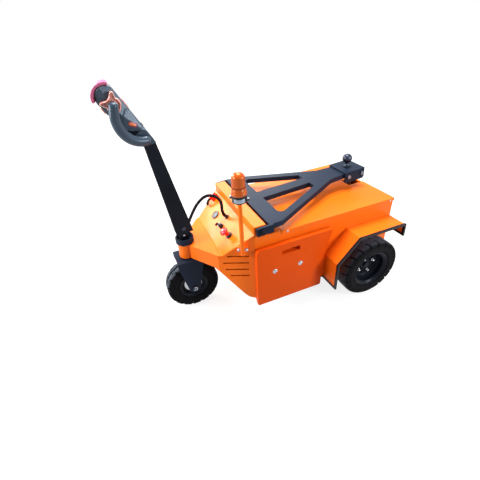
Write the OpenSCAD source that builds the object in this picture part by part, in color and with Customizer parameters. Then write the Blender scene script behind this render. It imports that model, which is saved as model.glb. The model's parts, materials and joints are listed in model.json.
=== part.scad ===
// Walk-behind electric tow tug: three wheels, a tiller, and a tow ball on a lifting A-frame arm.
// +X points forward to the operator, +Y to the left and +Z up. The modules draw the tug with x = 0
// at the rear axle, and place() moves it so that the origin lies on the floor under its middle.

/* [Body] */
// Width of the body across its side walls
body_w = 589; // [560:1:620]
// Rear wall, measured back from the rear axle
body_rear = 187; // [175:1:200]
// Front wall, measured forward from the rear axle
body_front = 712; // [700:1:730]
// Height of the lower edge of the side walls
floor_z = 137; // [125:1:150]
// Height of the lid's top face
lid_z = 576; // [560:1:590]
// Sheet thickness of the walls
wall = 4; // [3:0.5:6]
// Length of the fixed deck between the lid and the pivot housing
deck_l = 88; // [80:1:96]

/* [Lid] */
// Sheet thickness of the lid
lid_t = 3; // [2:0.5:4]
// Depth of the lid's turned-down lip
lid_lip = 17; // [12:1:24]
// Gap between the lid's lip and the body wall
lid_gap = 0.5; // [0.3:0.1:1]
// Length of the rear notch for the lift rod
notch_l = 109; // [100:1:115]
// Width of the rear notch
notch_w = 76; // [64:1:90]

/* [Pivot housing] */
// Length of the raised housing that carries the arm's pivots
housing_l = 67; // [60:1:74]
// Height of the housing's top
housing_z = 645; // [636:1:652]
// Pivot axis, measured back from the front wall
pivot_back = 41; // [36:1:46]
// Height of the pivot axis
pivot_z = 618; // [610:1:624]
// Diameter of the pivot pins
pivot_d = 20; // [16:1:24]

/* [Nose] */
// Height of the nose plate at the body
nose_z = 598; // [585:1:610]
// Height of the level front part of the nose plate
nose_low_z = 470; // [460:1:480]
// Fold between the sloping and the level part, forward of the rear axle
fold_x = 868; // [850:1:885]
// Side crease, forward of the rear axle
crease_x = 891; // [880:1:905]
// Half width at the side crease
crease_y = 211; // [195:1:225]
// Lower edge of the nose at the crease
crease_low_z = 362; // [350:1:375]
// Height of one cooling slot
slot_h = 9; // [6:1:12]
// Spacing of the cooling slots
slot_pitch = 45; // [38:1:50]

/* [Wheels] */
// Distance between the rear axle and the steered wheel
wheelbase = 1018; // [1000:1:1040]
// Outer diameter of the rear tyres
rear_d = 378; // [366:1:384]
// Width of the rear tyres
rear_w = 102; // [92:1:106]
// Gap between the body and the rear tyres
tyre_gap = 17; // [14:1:20]
// Flange diameter of the rear rims
rear_rim_d = 236; // [220:1:244]
// Tread blocks on one shoulder of a rear tyre
rear_blocks = 20; // [14:1:24]
// Outer diameter of the front tyre
front_d = 326; // [316:1:332]
// Width of the front tyre
front_w = 94; // [86:1:98]
// Flange diameter of the front rim
front_rim_d = 178; // [166:1:186]
// Tread blocks on one shoulder of the front tyre
front_blocks = 16; // [12:1:20]
// Width of the grooves between tread blocks
groove_w = 11; // [8:1:14]
// Depth of the tread grooves
groove_h = 10; // [6:1:12]
// Diameter of the rear axle stubs
axle_d = 34; // [30:1:38]
// Diameter of the bolt circle on the rear hubs
nut_pcd = 108; // [100:1:114]
// Gap between a tyre and its rim
bead_gap = 0.3; // [0.2:0.1:0.5]
// Radial running clearance at pins and shafts
run_gap = 0.05; // [0.02:0.01:0.09]

/* [Fenders] */
// Sheet thickness of the fenders
fender_t = 4; // [3:0.5:5]
// Width of the fenders
fender_w = 122.5; // [120:0.5:128]
// Front face of the fenders, forward of the rear axle
fender_x = 261; // [252:1:268]
// Lower edge of the front face
fender_low_z = 142; // [130:1:155]
// Height of the lower bend
fender_bend_z = 317; // [305:1:330]
// Upper bend, forward of the rear axle
fender_top_x = 130; // [120:1:140]
// Height of the fender tops
fender_z = 461; // [450:1:472]
// Rear end of the fender tops, behind the rear axle
fender_back = 181; // [174:1:186]
// Depth of the turned-down rear lip
fender_lip = 76; // [66:1:82]
// Width of the rubber edging on each side of the sheet
trim = 3; // [2:0.5:4]

/* [Side plates] */
// Thickness of the ballast plates
plate_t = 25; // [20:1:28]
// Gap between the body and the plates
plate_gap = 7.5; // [6:0.5:10]
// Front edge of the plates, forward of the rear axle
plate_front = 716; // [706:1:722]
// Rear edge of the plates' lower part
plate_rear = 299; // [290:1:306]
// Rear top corner of the plates
plate_top_rear = 249; // [238:1:258]
// Lower edge of the plates
plate_low_z = 122; // [110:1:132]
// Upper edge of the plates
plate_z = 514; // [505:1:525]
// Height where the rear edge starts to slant
plate_slant_z = 300; // [280:1:320]
// Length of the hand slot
hand_l = 110; // [100:1:120]
// Height of the hand slot
hand_h = 27; // [22:1:30]

/* [Steering] */
// Radius of the steering head
head_r = 45.5; // [42:0.5:49]
// Lower face of the steering head
head_low_z = 378; // [375:0.5:384]
// Rise of the steering head above the nose plate
head_rise = 4; // [3:0.5:6]
// Diameter of the steering stem
stem_d = 44; // [38:1:50]
// Outer radius of the dust collar
collar_r = 53; // [50:1:55]
// Height of the dust collar
collar_h = 35; // [30:1:36]
// Thickness of the fork's plates
fork_t = 10; // [8:1:12]
// Distance between the fork's side plates
fork_gap = 120; // [116:1:130]
// Half length of the fork's top plate
fork_half = 76; // [70:1:82]
// Half width of a fork side plate at its lower end
fork_foot = 33; // [28:1:38]
// Top face of the fork
fork_z = 372; // [369:0.5:373]
// Diameter of the front axle
front_axle_d = 20; // [16:1:24]

/* [Tiller] */
// Height of the tiller's tilt axis
tilt_z = 575; // [568:1:582]
// Forward lean of the parked tiller in degrees
lean = 9.4; // [7:0.1:12]
// Length of the tiller arm above its tilt axis
arm_l = 504; // [480:1:520]
// Length of the tiller arm below its tilt axis
arm_low = 34; // [30:1:38]
// Width of the tiller arm's side plates at the lower end
arm_w0 = 98; // [90:1:104]
// Width of the tiller arm's side plates at the upper end
arm_w1 = 58; // [52:1:64]
// Thickness of the tiller arm from side to side
arm_t = 56; // [52:1:60]
// Sheet thickness of the tiller arm
arm_wall = 5; // [4:0.5:6]
// Diameter of the tilt pin
tilt_d = 16; // [12:1:18]
// Width of the base bracket inside the tiller arm
bracket_w = 40; // [36:1:42]

/* [Control head] */
// Further lean of the control head against the arm in degrees
head_lean = 18.4; // [14:0.2:22]
// Length of the head's straight back up to the tip's centre
head_l = 263; // [250:1:275]
// Radius of the round tip
tip_r = 47; // [44:1:50]
// Height of the belly button over the tip
button_t = 15; // [12:1:17]
// Half width of the console
console_y = 57; // [52:1:60]
// Back face of the console, behind its long axis
console_back = 30; // [26:1:34]
// Radius of the hand grips
grip_r = 20; // [17:0.5:21]
// Thickness of a throttle's wings
throttle_t = 12; // [10:1:14]
// Reach of a grip to the side
grip_y = 96; // [94:1:104]

/* [Hitch arm] */
// Slope of the lowered arm in degrees
arm_slope = 3.3; // [2.6:0.1:3.8]
// Height of the arm's top face over the pivot axis
frame_top = 23; // [20:1:26]
// Depth of the arm's flanges
frame_h = 30; // [26:1:34]
// Thickness of the arm's plates
frame_t = 6; // [5:0.5:8]
// Front edge of the arm behind the pivot axis
frame_front = 43; // [40:1:48]
// Step from the arm's front corners out to the lugs' outer faces
lug_step = 7.5; // [6:0.5:9]
// Start of the windows behind the pivot axis
window_front = 139; // [130:1:148]
// End of the windows behind the pivot axis
window_end = 452; // [440:1:464]
// Half width of the centre spar
spar_y = 38; // [32:1:44]
// Half width of the neck
neck_y = 66; // [60:1:69]
// Neck's start behind the pivot axis
neck_start = 576; // [560:1:590]
// Neck's end behind the pivot axis
neck_end = 768; // [760:1:776]
// Thickness of the pivot lugs
lug_t = 13; // [11:1:15]
// Height of the pivot lugs
lug_h = 49; // [44:1:52]
// Gap between the lugs and the housing
lug_gap = 5; // [5:0.5:6]

/* [Hitch head] */
// Start of the hitch head behind the pivot axis
hitch_start = 679; // [670:1:686]
// Length of the hitch head
hitch_l = 141; // [132:1:150]
// Half width of the hitch head
hitch_y = 79; // [76:1:84]
// Plate thickness of the hitch head
hitch_t = 8; // [6:0.5:9]
// Height of the hitch head's top over the pivot axis, square to the arm
hitch_top = 33; // [32:0.5:36]
// Depth of the hitch head's cheeks
cheek_h = 70; // [64:1:74]
// Diameter of the two cross pins
pin_d = 16; // [12:1:18]
// Diameter of the tow ball
ball_d = 58; // [50:0.5:59]
// Height of the ball's centre over the hitch head
ball_h = 52; // [46:1:56]

/* [Lift] */
// Rod eye's pin behind the pivot axis, along the arm
eye_u = 776; // [768:1:784]
// Rod eye's pin below the pivot axis, square to the arm
eye_w = 51; // [46:1:54]
// Foot pin of the lift, behind the rear axle
foot_back = 126; // [122:1:136]
// Height of the foot pin
foot_z = 190; // [182:1:198]
// Outer diameter of the lift tube
tube_d = 48; // [42:1:52]
// Length of the lift tube above its foot pin
tube_l = 325; // [300:1:335]
// Diameter of the lift rod
rod_d = 24; // [20:1:28]

/* [Beacon] */
// Beacon post, forward of the rear axle
post_x = 776; // [766:1:786]
// Diameter of the beacon post
post_d = 22; // [18:1:24]
// Lower end of the beacon post
post_low_z = 488; // [478:1:495]
// Height of the beacon's mounting face
beacon_z = 809; // [790:1:820]
// Height of the beacon's base
beacon_base_h = 38; // [32:1:42]
// Diameter of the beacon's lens
lens_d = 64; // [58:1:70]
// Height of the lens
lens_h = 109; // [100:1:118]

/* [Controls] */
// Radius of the charge gauge
gauge_r = 26; // [22:1:30]
// Diameter of the emergency stop's head
stop_d = 46; // [38:1:52]
// Diameter of the control cable
cable_d = 16; // [12:0.5:17]
// Gap under a piece that is seated on a sloping sheet
seat_gap = 0.3; // [0.2:0.1:0.5]

/* [Drive] */
// Radius of the axle tube
beam_r = 26; // [22:1:28]
// Radius of the gear housing
gear_r = 82; // [74:1:86]
// Radius of the drive motor
motor_r = 58; // [50:1:62]
// Length of the drive motor
motor_l = 170; // [150:1:180]
// Length, width and height of the battery block
battery = [360, 420, 240];

/* [Hidden] */

orange = "darkorange";
black = [0.09, 0.09, 0.10];
slate = [0.25, 0.28, 0.32];
steel = "silver";
$fn = 64;

half_w = body_w / 2;
rear_track = body_w + 2 * tyre_gap + rear_w;
fender_y = half_w + fender_w;
plate_y = half_w + plate_gap + plate_t;
frame_w = 2 * (half_w + lug_gap + lug_t - lug_step);
head_z = nose_low_z + head_rise;
lid_front = body_front - housing_l - deck_l - 2;
lid_rear = body_rear + lid_t + lid_gap;
housing_rear = body_front - housing_l;
pivot_x = body_front - pivot_back;
slope_a = atan2(nose_z - nose_low_z, fold_x - body_front);
flank_a = atan2(half_w - crease_y, crease_x - body_front);
cap_r = tip_r + button_t;
cap_s = head_l;
cap_t = tip_r - console_back - 5;

// Position of a point of the tiller, given along and across the arm, as [x, z]
function from_arm(s, t) = [wheelbase + s * sin(lean) + t * cos(lean), tilt_z + s * cos(lean) - t * sin(lean)];
// The same for a point of the control head
function from_head(s, t) = from_arm(arm_l + s * cos(head_lean) - t * sin(head_lean),
    s * sin(head_lean) + t * cos(head_lean));

front_x = from_head(cap_s, cap_t)[0] + cap_r;
middle_x = (front_x - lid_rear) / 2;

// Points of an arc about c, from angle a to angle b
function arc(c, r, a, b, n = 8) = [for (i = [0:n]) c + r * [cos(a + (b - a) * i / n), sin(a + (b - a) * i / n)]];
function unit(v) = v / norm(v);
// An open path moved sideways by d, with mitred corners
function side_of(p, d) = [for (i = [0:len(p) - 1]) let(
    a = unit(p[min(i + 1, len(p) - 1)] - p[min(i, len(p) - 2)]),
    b = unit(p[max(i, 1)] - p[max(i - 1, 0)]),
    m = unit([-a[1] - b[1], a[0] + b[0]]))
    p[i] + m * d / (m * [-a[1], a[0]])];
function reversed(p) = [for (i = [len(p) - 1:-1:0]) p[i]];
// Corner i of an outline, rounded with radius r
function corner(p, i, r, n = 6) = let(
    o = p[i],
    a = unit(p[(i + len(p) - 1) % len(p)] - o),
    b = unit(p[(i + 1) % len(p)] - o),
    h = acos(a * b) / 2,
    c = o + unit(a + b) * r / sin(h),
    s = o + a * r / tan(h) - c,
    e = o + b * r / tan(h) - c,
    a0 = atan2(s[1], s[0]),
    turn = atan2(s[0] * e[1] - s[1] * e[0], s * e))
    r == 0 ? [o] : [for (k = [0:n]) c + r * [cos(a0 + turn * k / n), sin(a0 + turn * k / n)]];
// Outline with a rounding radius for each corner
function rounded(p, radii) = [for (i = [0:len(p) - 1]) each corner(p, i, radii[i])];

module place() { translate([-middle_x, 0, 0]) children(); }
// An outline in x and z, extruded across y from y0 to y1
module across(y0, y1) { translate([0, y1, 0]) rotate([90, 0, 0]) linear_extrude(y1 - y0) children(); }
module on_y(x, y, z) { translate([x, y, z]) rotate([-90, 0, 0]) children(); }
module mirrored(side) { if (side > 0) children(); else mirror([0, 1, 0]) children(); }
// A point on the sloping nose plate, given forward of the body and across, raised by h square to the sheet
function slope_point(at, h) = [body_front + at[0] + h * sin(slope_a), at[1],
    nose_z - at[0] * tan(slope_a) + h * cos(slope_a)];
// Frame at such a point, with z square to the sheet
module on_slope(at) { translate(slope_point(at, 0)) rotate([0, slope_a, 0]) children(); }
// Frame of the hitch arm: x runs back along the arm from the pivot axis, z square to it
module on_arm() { translate([pivot_x, 0, pivot_z]) rotate([0, arm_slope, 0]) mirror([1, 0, 0]) children(); }
module on_tiller() { translate([wheelbase, 0, tilt_z]) rotate([0, lean, 0]) children(); }
module on_head() { on_tiller() translate([0, 0, arm_l]) rotate([0, head_lean, 0]) children(); }

// Body

module body_shell() {
    color(orange) difference() {
        across(-half_w, half_w) polygon([[-body_rear, floor_z], [body_front, floor_z], [body_front, lid_z],
            [lid_front + 2, lid_z], [lid_front + 2, lid_z - lid_t], [-body_rear, lid_z - lid_t]]);
        across(-half_w + wall, half_w - wall)
            polygon([[-body_rear + wall, floor_z - 1], [body_front - wall, floor_z - 1],
                [body_front - wall, lid_z - lid_t - wall], [-body_rear + wall, lid_z - lid_t - wall]]);
        rim = 12;
        translate([-body_rear + rim, -half_w + rim, lid_z - lid_t - wall - 1])
            cube([lid_front - rim + body_rear - rim, body_w - 2 * rim, 2 * wall]);
        on_y(0, -half_w - 1, rear_d / 2) cylinder(r = beam_r, h = body_w + 2);
    }
}

module pivot_housing() {
    color(orange) difference() {
        translate([housing_rear, -half_w, lid_z]) cube([housing_l, body_w, housing_z - lid_z]);
        translate([housing_rear + wall, -half_w + wall, lid_z - 1])
            cube([housing_l - 2 * wall, body_w - 2 * wall, housing_z - lid_z - wall + 1]);
    }
}

module pivot_pins() {
    washer_d = pivot_d + 12;
    head_t = 11;
    color(black) for (side = [-1, 1]) mirrored(side) {
        on_y(pivot_x, half_w, pivot_z) cylinder(d = pivot_d, h = lug_gap + lug_t + 3);
        on_y(pivot_x, half_w, pivot_z) cylinder(d = washer_d, h = lug_gap - 1);
        on_y(pivot_x, half_w + lug_gap + lug_t + 1, pivot_z) cylinder(d = washer_d, h = head_t);
    }
}

module lid() {
    y = half_w + lid_gap + lid_t;
    color(orange) difference() {
        translate([-lid_rear, -y, lid_z - lid_lip]) cube([lid_front + lid_rear, 2 * y, lid_lip]);
        translate([-lid_rear + lid_t, -y + lid_t, lid_z - lid_lip - 1])
            cube([lid_front + lid_rear - lid_t + 1, 2 * (y - lid_t), lid_lip - lid_t + 1]);
        translate([-lid_rear - 1, -notch_w / 2, lid_z - lid_lip - 1])
            cube([notch_l + 1, notch_w, lid_lip + 2]);
    }
}

// Nose: one outline seen from above, cut by one seen from the side. With a thickness t it gives the
// space inside the sheet, which is open to the body behind it
module nose_form(t) {
    head_y = head_r + 0.5 - t;
    head_x = wheelbase - 11;
    tip_x = wheelbase + 20;
    rear_x = body_front - (t > 0 ? 1 : 0);
    plan = [[rear_x, half_w - t * 1.1], [crease_x - t * 0.6, crease_y - t], [head_x, head_y]];
    fork_clear = fork_half + 30;
    under = [[tip_x, head_low_z], [wheelbase - fork_clear, head_low_z], [crease_x, crease_low_z],
        [body_front + 58, floor_z + 51], [body_front + 36, floor_z + 28], [body_front + 14, floor_z + 20],
        [rear_x, floor_z + 20]];
    dip = t / cos(slope_a);
    top = [[rear_x, nose_z - dip + (body_front - rear_x) * tan(slope_a)],
        [fold_x - t * tan(slope_a / 2), nose_low_z - t], [tip_x, nose_low_z - t]];
    intersection() {
        translate([0, 0, floor_z]) linear_extrude(nose_z)
            polygon(concat(plan, [for (p = reversed(plan)) [p[0], -p[1]]]));
        across(-half_w, half_w) polygon(concat(top, side_of(under, -t)));
    }
}

module nose_cover() {
    // Cooling slots: distance of each one's front end from the body corner, from the top down
    slot_ends = [149, 174, 162, 137];
    slot_start = 33;
    color(orange) difference() {
        nose_form(0);
        nose_form(wall);
        for (side = [-1, 1]) mirrored(side)
            translate([body_front, half_w, 0]) rotate([0, 0, -flank_a])
                for (i = [0:len(slot_ends) - 1])
                    translate([slot_start, -3 * wall, nose_low_z - 12 - i * slot_pitch])
                        cube([slot_ends[i] - slot_start, 6 * wall, slot_h]);
        translate([wheelbase, 0, floor_z]) cylinder(r = head_r, h = nose_z);
    }
}

module steering_head() {
    color(orange) difference() {
        translate([wheelbase, 0, head_low_z]) cylinder(r = head_r, h = head_z - head_low_z);
        translate([wheelbase, 0, head_low_z - 1])
            cylinder(r = stem_d / 2 + run_gap, h = head_z - head_low_z + 2);
    }
}

module dust_collar() {
    bevel = 4;
    color(black) translate([wheelbase, 0, head_z]) rotate_extrude()
        polygon([[collar_r - 9, 0], [collar_r - bevel, 0], [collar_r, bevel], [collar_r, collar_h - bevel],
            [collar_r - bevel, collar_h], [collar_r - 9, collar_h]]);
}

// What shows from below: floor plate, battery, axle and drive

module base_plate() {
    t = 6;
    gap = 1;
    ear_t = 10;
    color(black) difference() {
        union() {
            translate([-body_rear + wall, -half_w + wall, floor_z + gap])
                cube([body_front + body_rear - 2 * wall, body_w - 2 * wall, t]);
            for (side = [-1, 1]) mirrored(side)
                across(tube_d / 2 + 1, tube_d / 2 + 1 + ear_t) polygon(concat(
                    [[-foot_back - 30, floor_z + gap + 1], [-foot_back + 30, floor_z + gap + 1]],
                    arc([-foot_back, foot_z], 18, 0, 180)));
        }
        translate([-gear_r - 12, -gear_r - motor_r - 50, floor_z - 5])
            cube([gear_r + motor_l + 110, gear_r + motor_r + 18, 30]);
        on_y(-foot_back, -tube_d, foot_z) cylinder(d = pin_d, h = 2 * tube_d);
    }
}

module battery_block() {
    color(slate) translate([body_front - wall - 60 - battery[0], -battery[1] / 2, floor_z + 7]) cube(battery);
}

module rear_axle() {
    stub_end = rear_track / 2 + 6;
    color(black) {
        on_y(0, -half_w - 4, rear_d / 2) cylinder(r = beam_r, h = body_w + 8);
        on_y(0, -stub_end, rear_d / 2) cylinder(d = axle_d, h = 2 * stub_end);
    }
}

module gear_housing() {
    y = -110;
    color(slate) difference() {
        union() {
            on_y(0, y - 48, rear_d / 2) cylinder(r = gear_r, h = 96);
            on_y(0, y - 60, rear_d / 2) cylinder(r = beam_r + 22, h = 120);
            translate([gear_r - 24, y, rear_d / 2 + 8]) rotate([0, 90, 0]) cylinder(r = motor_r - 8, h = 30);
        }
        on_y(0, y - 61, rear_d / 2) cylinder(r = beam_r, h = 122);
    }
}

module drive_motor() {
    color(black) translate([gear_r + 6, -110, rear_d / 2 + 8]) rotate([0, 90, 0]) {
        cylinder(r = motor_r, h = motor_l - 30);
        translate([0, 0, motor_l - 30]) cylinder(r = motor_r - 6, h = 30);
    }
}

// Fenders

fender_path = [[fender_x, fender_low_z], [fender_x, fender_bend_z], [fender_top_x, fender_z],
    [-fender_back, fender_z], [-fender_back - 4, fender_z - fender_lip]];

module fender(side) {
    color(orange) mirrored(side) across(half_w, fender_y)
        polygon(concat(fender_path, reversed(side_of(fender_path, fender_t))));
}

module fender_trim(side) {
    edge = 11;
    last = len(fender_path) - 1;
    front = unit(fender_path[1] - fender_path[0]);
    rear = unit(fender_path[last] - fender_path[last - 1]);
    ends = [[fender_path[0] - front * trim, fender_path[0] + front * edge],
        [fender_path[last] - rear * edge, fender_path[last] + rear * trim]];
    color(black) mirrored(side) difference() {
        union() {
            across(fender_y - edge, fender_y + trim)
                polygon(concat(side_of(fender_path, -trim), reversed(side_of(fender_path, fender_t + trim))));
            for (e = ends) across(half_w + 0.5, fender_y + trim)
                polygon(concat(side_of(e, -trim), reversed(side_of(e, fender_t + trim))));
        }
        across(half_w, fender_y) polygon(concat(fender_path, reversed(side_of(fender_path, fender_t))));
    }
}

// Side plates with a hand slot, on two spacers each

module side_plate(side) {
    outline = [[plate_front, plate_low_z], [plate_front, plate_z], [plate_top_rear, plate_z],
        [plate_rear, plate_slant_z], [plate_rear, plate_low_z]];
    bolt_x = [body_front - 103, body_front - 262];
    bolt_z = plate_z - 169;
    hand_x = body_front - 201;
    hand_z = plate_z - 57;
    color(orange) mirrored(side) {
        difference() {
            across(plate_y - plate_t, plate_y) polygon(rounded(outline, [10, 22, 4, 0, 10]));
            translate([hand_x - hand_l / 2, plate_y - plate_t - 1, hand_z - hand_h / 2])
                cube([hand_l, plate_t + 2, hand_h]);
        }
        for (x = bolt_x) on_y(x, half_w, bolt_z) cylinder(r = 16, h = plate_y - plate_t - half_w);
    }
}

// Beacon on its post

post_y = half_w - (post_x - body_front) * tan(flank_a) + (post_d / 2 + 8) / cos(flank_a);

module beacon_post() {
    foot_w = 56;
    foot_h = 34;
    color(orange) {
        translate([post_x, post_y, post_low_z]) cylinder(d = post_d, h = beacon_z - post_low_z);
        translate([post_x, post_y, post_low_z + 12]) rotate([0, 0, -flank_a])
            translate([-foot_w / 2, -post_d / 2 - 8, 0]) cube([foot_w, 12, foot_h]);
    }
}

module beacon_base() {
    ear_x = 42;
    ear_r = 9;
    ear_z = 12;
    ear_t = 10;
    step = 8;
    color(black) translate([post_x, post_y, beacon_z]) {
        cylinder(r = lens_d / 2 + 4, h = beacon_base_h - step);
        translate([0, 0, beacon_base_h - step]) cylinder(r = lens_d / 2 + 1, h = step);
        rotate([0, 0, -flank_a - 20]) {
            for (s = [-1, 1]) translate([s * ear_x, 0, ear_z]) cylinder(r = ear_r, h = ear_t);
            translate([-ear_x, -ear_r, ear_z]) cube([2 * ear_x, 2 * ear_r, ear_t]);
        }
    }
}

module beacon_lens() {
    r = lens_d / 2;
    skirt = 6;
    dome = 18;
    color("orange") translate([post_x, post_y, beacon_z + beacon_base_h]) rotate_extrude()
        polygon(concat([[0, 0], [r + skirt - 1, 0], [r + skirt, 3], [r + skirt - 2, 16], [r + 1, 24], [r + 1, 30],
            [r, 32], [r - 1, lens_h - dome]], arc([r - 1 - dome, lens_h - dome], dome, 0, 90), [[0, lens_h]]));
}

// Controls on the nose: place on the sloping plate, forward of the body and across

gauge_at = [78, -94];
stop_at = [82, 145];
key_at = [86, 35];
gland_at = [40, 11];
plug_at = [32, 60 - half_w];

module charge_gauge() {
    color(black) on_slope(gauge_at) cylinder(r = gauge_r, h = 6);
}

module emergency_stop() {
    base_h = 14;
    neck_h = 26;
    head_h = 20;
    r = stop_d / 2;
    on_slope(stop_at) {
        color(black) cylinder(r = r - 5, h = base_h);
        color("red") translate([0, 0, base_h]) rotate_extrude() polygon(concat([[0, 0], [r - 10, 0],
            [r - 7, neck_h], [r - 2, neck_h]], arc([r - 6, neck_h + 6], 6, -60, 70, 6), [[0, neck_h + head_h - 4]]));
    }
}

module key_switch() {
    barrel_h = 26;
    on_slope(key_at) {
        color(black) cylinder(r = 13, h = barrel_h);
        color(steel) translate([-3, -1.5, barrel_h]) cube([22, 3, 20]);
    }
}

module charge_plug() {
    plug_h = 42;
    on_slope(plug_at) {
        color("red") translate([-22, -20, 0]) cube([40, 40, plug_h]);
        color(black) translate([12, 5, plug_h - 22]) rotate([0, 20, 0]) cube([52, 12, 12]);
    }
}

// The cable is held at both ends, by a gland in the slope and one beside the steering head

gland_h = 20;
cable_foot = [wheelbase - 38, -72];
cable_path = concat([slope_point(gland_at, gland_h + seat_gap), slope_point(gland_at, gland_h + 10)],
    [[777, 5, 620], [775, -2, 652], [782, -9, 677], [800, -17, 698], [825, -25, 709], [850, -33, 708],
    [876, -42, 692], [912, -49, 654]],
    [for (h = [110, 66, 40, 14]) [cable_foot[0] - h * h / 420, cable_foot[1] + h / 14, nose_low_z + h]]);

module cable_glands() {
    color(black) {
        on_slope(gland_at) {
            cylinder(r = cable_d / 2 + 7, h = 6, $fn = 6);
            cylinder(r = cable_d / 2 + 2, h = gland_h);
        }
        translate([cable_foot[0], cable_foot[1], nose_low_z + seat_gap])
            cylinder(r = cable_d / 2 + 2, h = 14 - 2 * seat_gap - 1);
    }
}

// A tube of round section swept along the middle points of a path
module swept(path, r, sides) {
    last = len(path) - 1;
    dir = [for (i = [0:last]) unit(path[min(i + 1, last)] - path[max(i - 1, 0)])];
    across_dir = [0, 1, 0];
    rings = [for (i = [0:last]) let(a = unit(cross(dir[i], across_dir)), b = cross(dir[i], a))
        for (k = [0:sides - 1]) path[i] + r * (a * cos(360 * k / sides) + b * sin(360 * k / sides))];
    walls = [for (i = [0:last - 1]) for (k = [0:sides - 1])
        [i * sides + k, i * sides + (k + 1) % sides, (i + 1) * sides + (k + 1) % sides, (i + 1) * sides + k]];
    ends = [[for (k = [sides - 1:-1:0]) k], [for (k = [0:sides - 1]) last * sides + k]];
    polyhedron(rings, concat(walls, ends));
}

module control_cable() {
    color(black) swept(cable_path, cable_d / 2, 12);
}

// Wheels, drawn about their own centre with the axle along y

// Seat of the tyre on one side of its rim, moved into the tyre by g: radius, place across the tyre
function bead(rim_d, w, g) = [[rim_d / 2 - 14 + g, -w / 2 + 16 + g], [rim_d / 2 - 6 + g, -w / 2 + 12 + g],
    [rim_d / 2 + g, -w / 2 + 9 + g]];
function both_sides(half) = concat(half, [for (p = reversed(half)) [p[0], -p[1]]]);

module tyre(d, w, rim_d, blocks) {
    r = d / 2;
    shoulder = 16;
    color(black) rotate([90, 0, 0]) difference() {
        rotate_extrude($fn = 72) polygon(both_sides(concat(bead(rim_d, w, bead_gap), [
            [rim_d / 2 + 4, -w / 2 + 6], [r - 2 * shoulder, -w / 2], [r - shoulder * 0.6, -w / 2 + 3],
            [r, -w / 2 + shoulder]])));
        for (i = [0:blocks - 1]) for (side = [-1, 1])
            rotate([0, 0, (i + side / 4) * 360 / blocks])
                translate([r - groove_h, -groove_w / 2, side * w * 0.36 - w * 0.2])
                    cube([2 * groove_h, groove_w, w * 0.4]);
    }
}

// Rim with its well, a dished disc and a hub; disc_y is the disc's outer face from the middle
module rim(rim_d, w, disc_y, hub_r, hub_in, bore) {
    r = rim_d / 2;
    t = 4;
    seat = r - 14 - t;
    half = w / 2 - 5;
    rotate([90, 0, 0]) rotate_extrude($fn = 72) polygon(concat([
        [bore, -hub_in], [hub_r, -hub_in], [hub_r, disc_y - 10], [seat - 16, disc_y - 10],
        [seat, disc_y - 18], [seat, -half + 10], [r - 5, -half], [r, -half]],
        reversed(bead(rim_d, w, 0)), [for (p = bead(rim_d, w, 0)) [p[0], -p[1]]],
        [[r, half], [r - 5, half], [seat, half - 10], [seat, disc_y - 8],
        [seat - 16, disc_y], [hub_r - 6, disc_y], [hub_r - 6, disc_y + 10], [bore, disc_y + 10]]));
}

module rear_tyre(side) {
    translate([0, side * rear_track / 2, rear_d / 2]) tyre(rear_d, rear_w, rear_rim_d, rear_blocks);
}

module rear_rim(side) {
    disc_in = 16;
    translate([0, side * rear_track / 2, rear_d / 2]) mirrored(-side) {
        color(black) rim(rear_rim_d, rear_w, -disc_in, axle_d / 2 + 14, rear_w / 2 - 6, axle_d / 2 + run_gap);
        color(steel) for (i = [0:3]) rotate([0, 23 + i * 90, 0]) translate([nut_pcd / 2, disc_in + 4, 0])
            rotate([90, 0, 0]) cylinder(d = 20, h = 16, $fn = 6);
    }
}

module front_tyre() {
    translate([wheelbase, 0, front_d / 2]) tyre(front_d, front_w, front_rim_d, front_blocks);
}

module front_rim() {
    disc_y = 18;
    translate([wheelbase, 0, front_d / 2]) mirrored(-1)
        color(black) rim(front_rim_d, front_w, disc_y, front_axle_d / 2 + 12, fork_gap / 2 - 4,
            front_axle_d / 2 + run_gap);
}

// Fork, stem and the bracket that carries the tiller

module fork() {
    low = front_d / 2 - 31;
    leg = [[-fork_half, fork_z - fork_t], [-fork_half, fork_z - fork_t - 22], [-fork_foot, low + 18],
        [-fork_foot + 16, low], [fork_foot - 16, low], [fork_foot, low + 18],
        [fork_half, fork_z - fork_t - 22], [fork_half, fork_z - fork_t]];
    color(slate) translate([wheelbase - fork_half, -fork_gap / 2 - fork_t, fork_z - fork_t])
        cube([2 * fork_half, fork_gap + 2 * fork_t, fork_t]);
    color(black) {
        difference() {
            for (side = [-1, 1]) mirrored(side) translate([wheelbase, 0, 0])
                across(fork_gap / 2, fork_gap / 2 + fork_t) polygon(leg);
            on_y(wheelbase, -fork_gap, front_d / 2) cylinder(d = front_axle_d, h = 2 * fork_gap);
        }
        translate([wheelbase, 0, fork_z]) cylinder(d = stem_d, h = head_z + 8 - fork_z);
    }
}

module tiller_bracket() {
    foot_z = head_z + 8;
    color(black) {
        translate([wheelbase, 0, foot_z]) cylinder(r = collar_r - 14, h = 9);
        difference() {
            across(-bracket_w / 2, bracket_w / 2) polygon(concat([[wheelbase - 24, foot_z + 8],
                [wheelbase + 24, foot_z + 8]], arc([wheelbase, tilt_z], 22, 0, 180)));
            on_y(wheelbase, -bracket_w, tilt_z) cylinder(r = tilt_d / 2 + run_gap, h = 2 * bracket_w);
        }
    }
}

module front_axle() {
    end = fork_gap / 2 + fork_t;
    nut_t = 7;
    color(steel) on_y(wheelbase, 0, front_d / 2) {
        translate([0, 0, -end - nut_t / 2]) cylinder(d = front_axle_d, h = 2 * end + nut_t);
        for (side = [-1, 1]) translate([0, 0, side * (end + nut_t / 2) - nut_t / 2])
            cylinder(d = 34, h = nut_t, $fn = 6);
    }
}

// Tiller arm and control head

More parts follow.
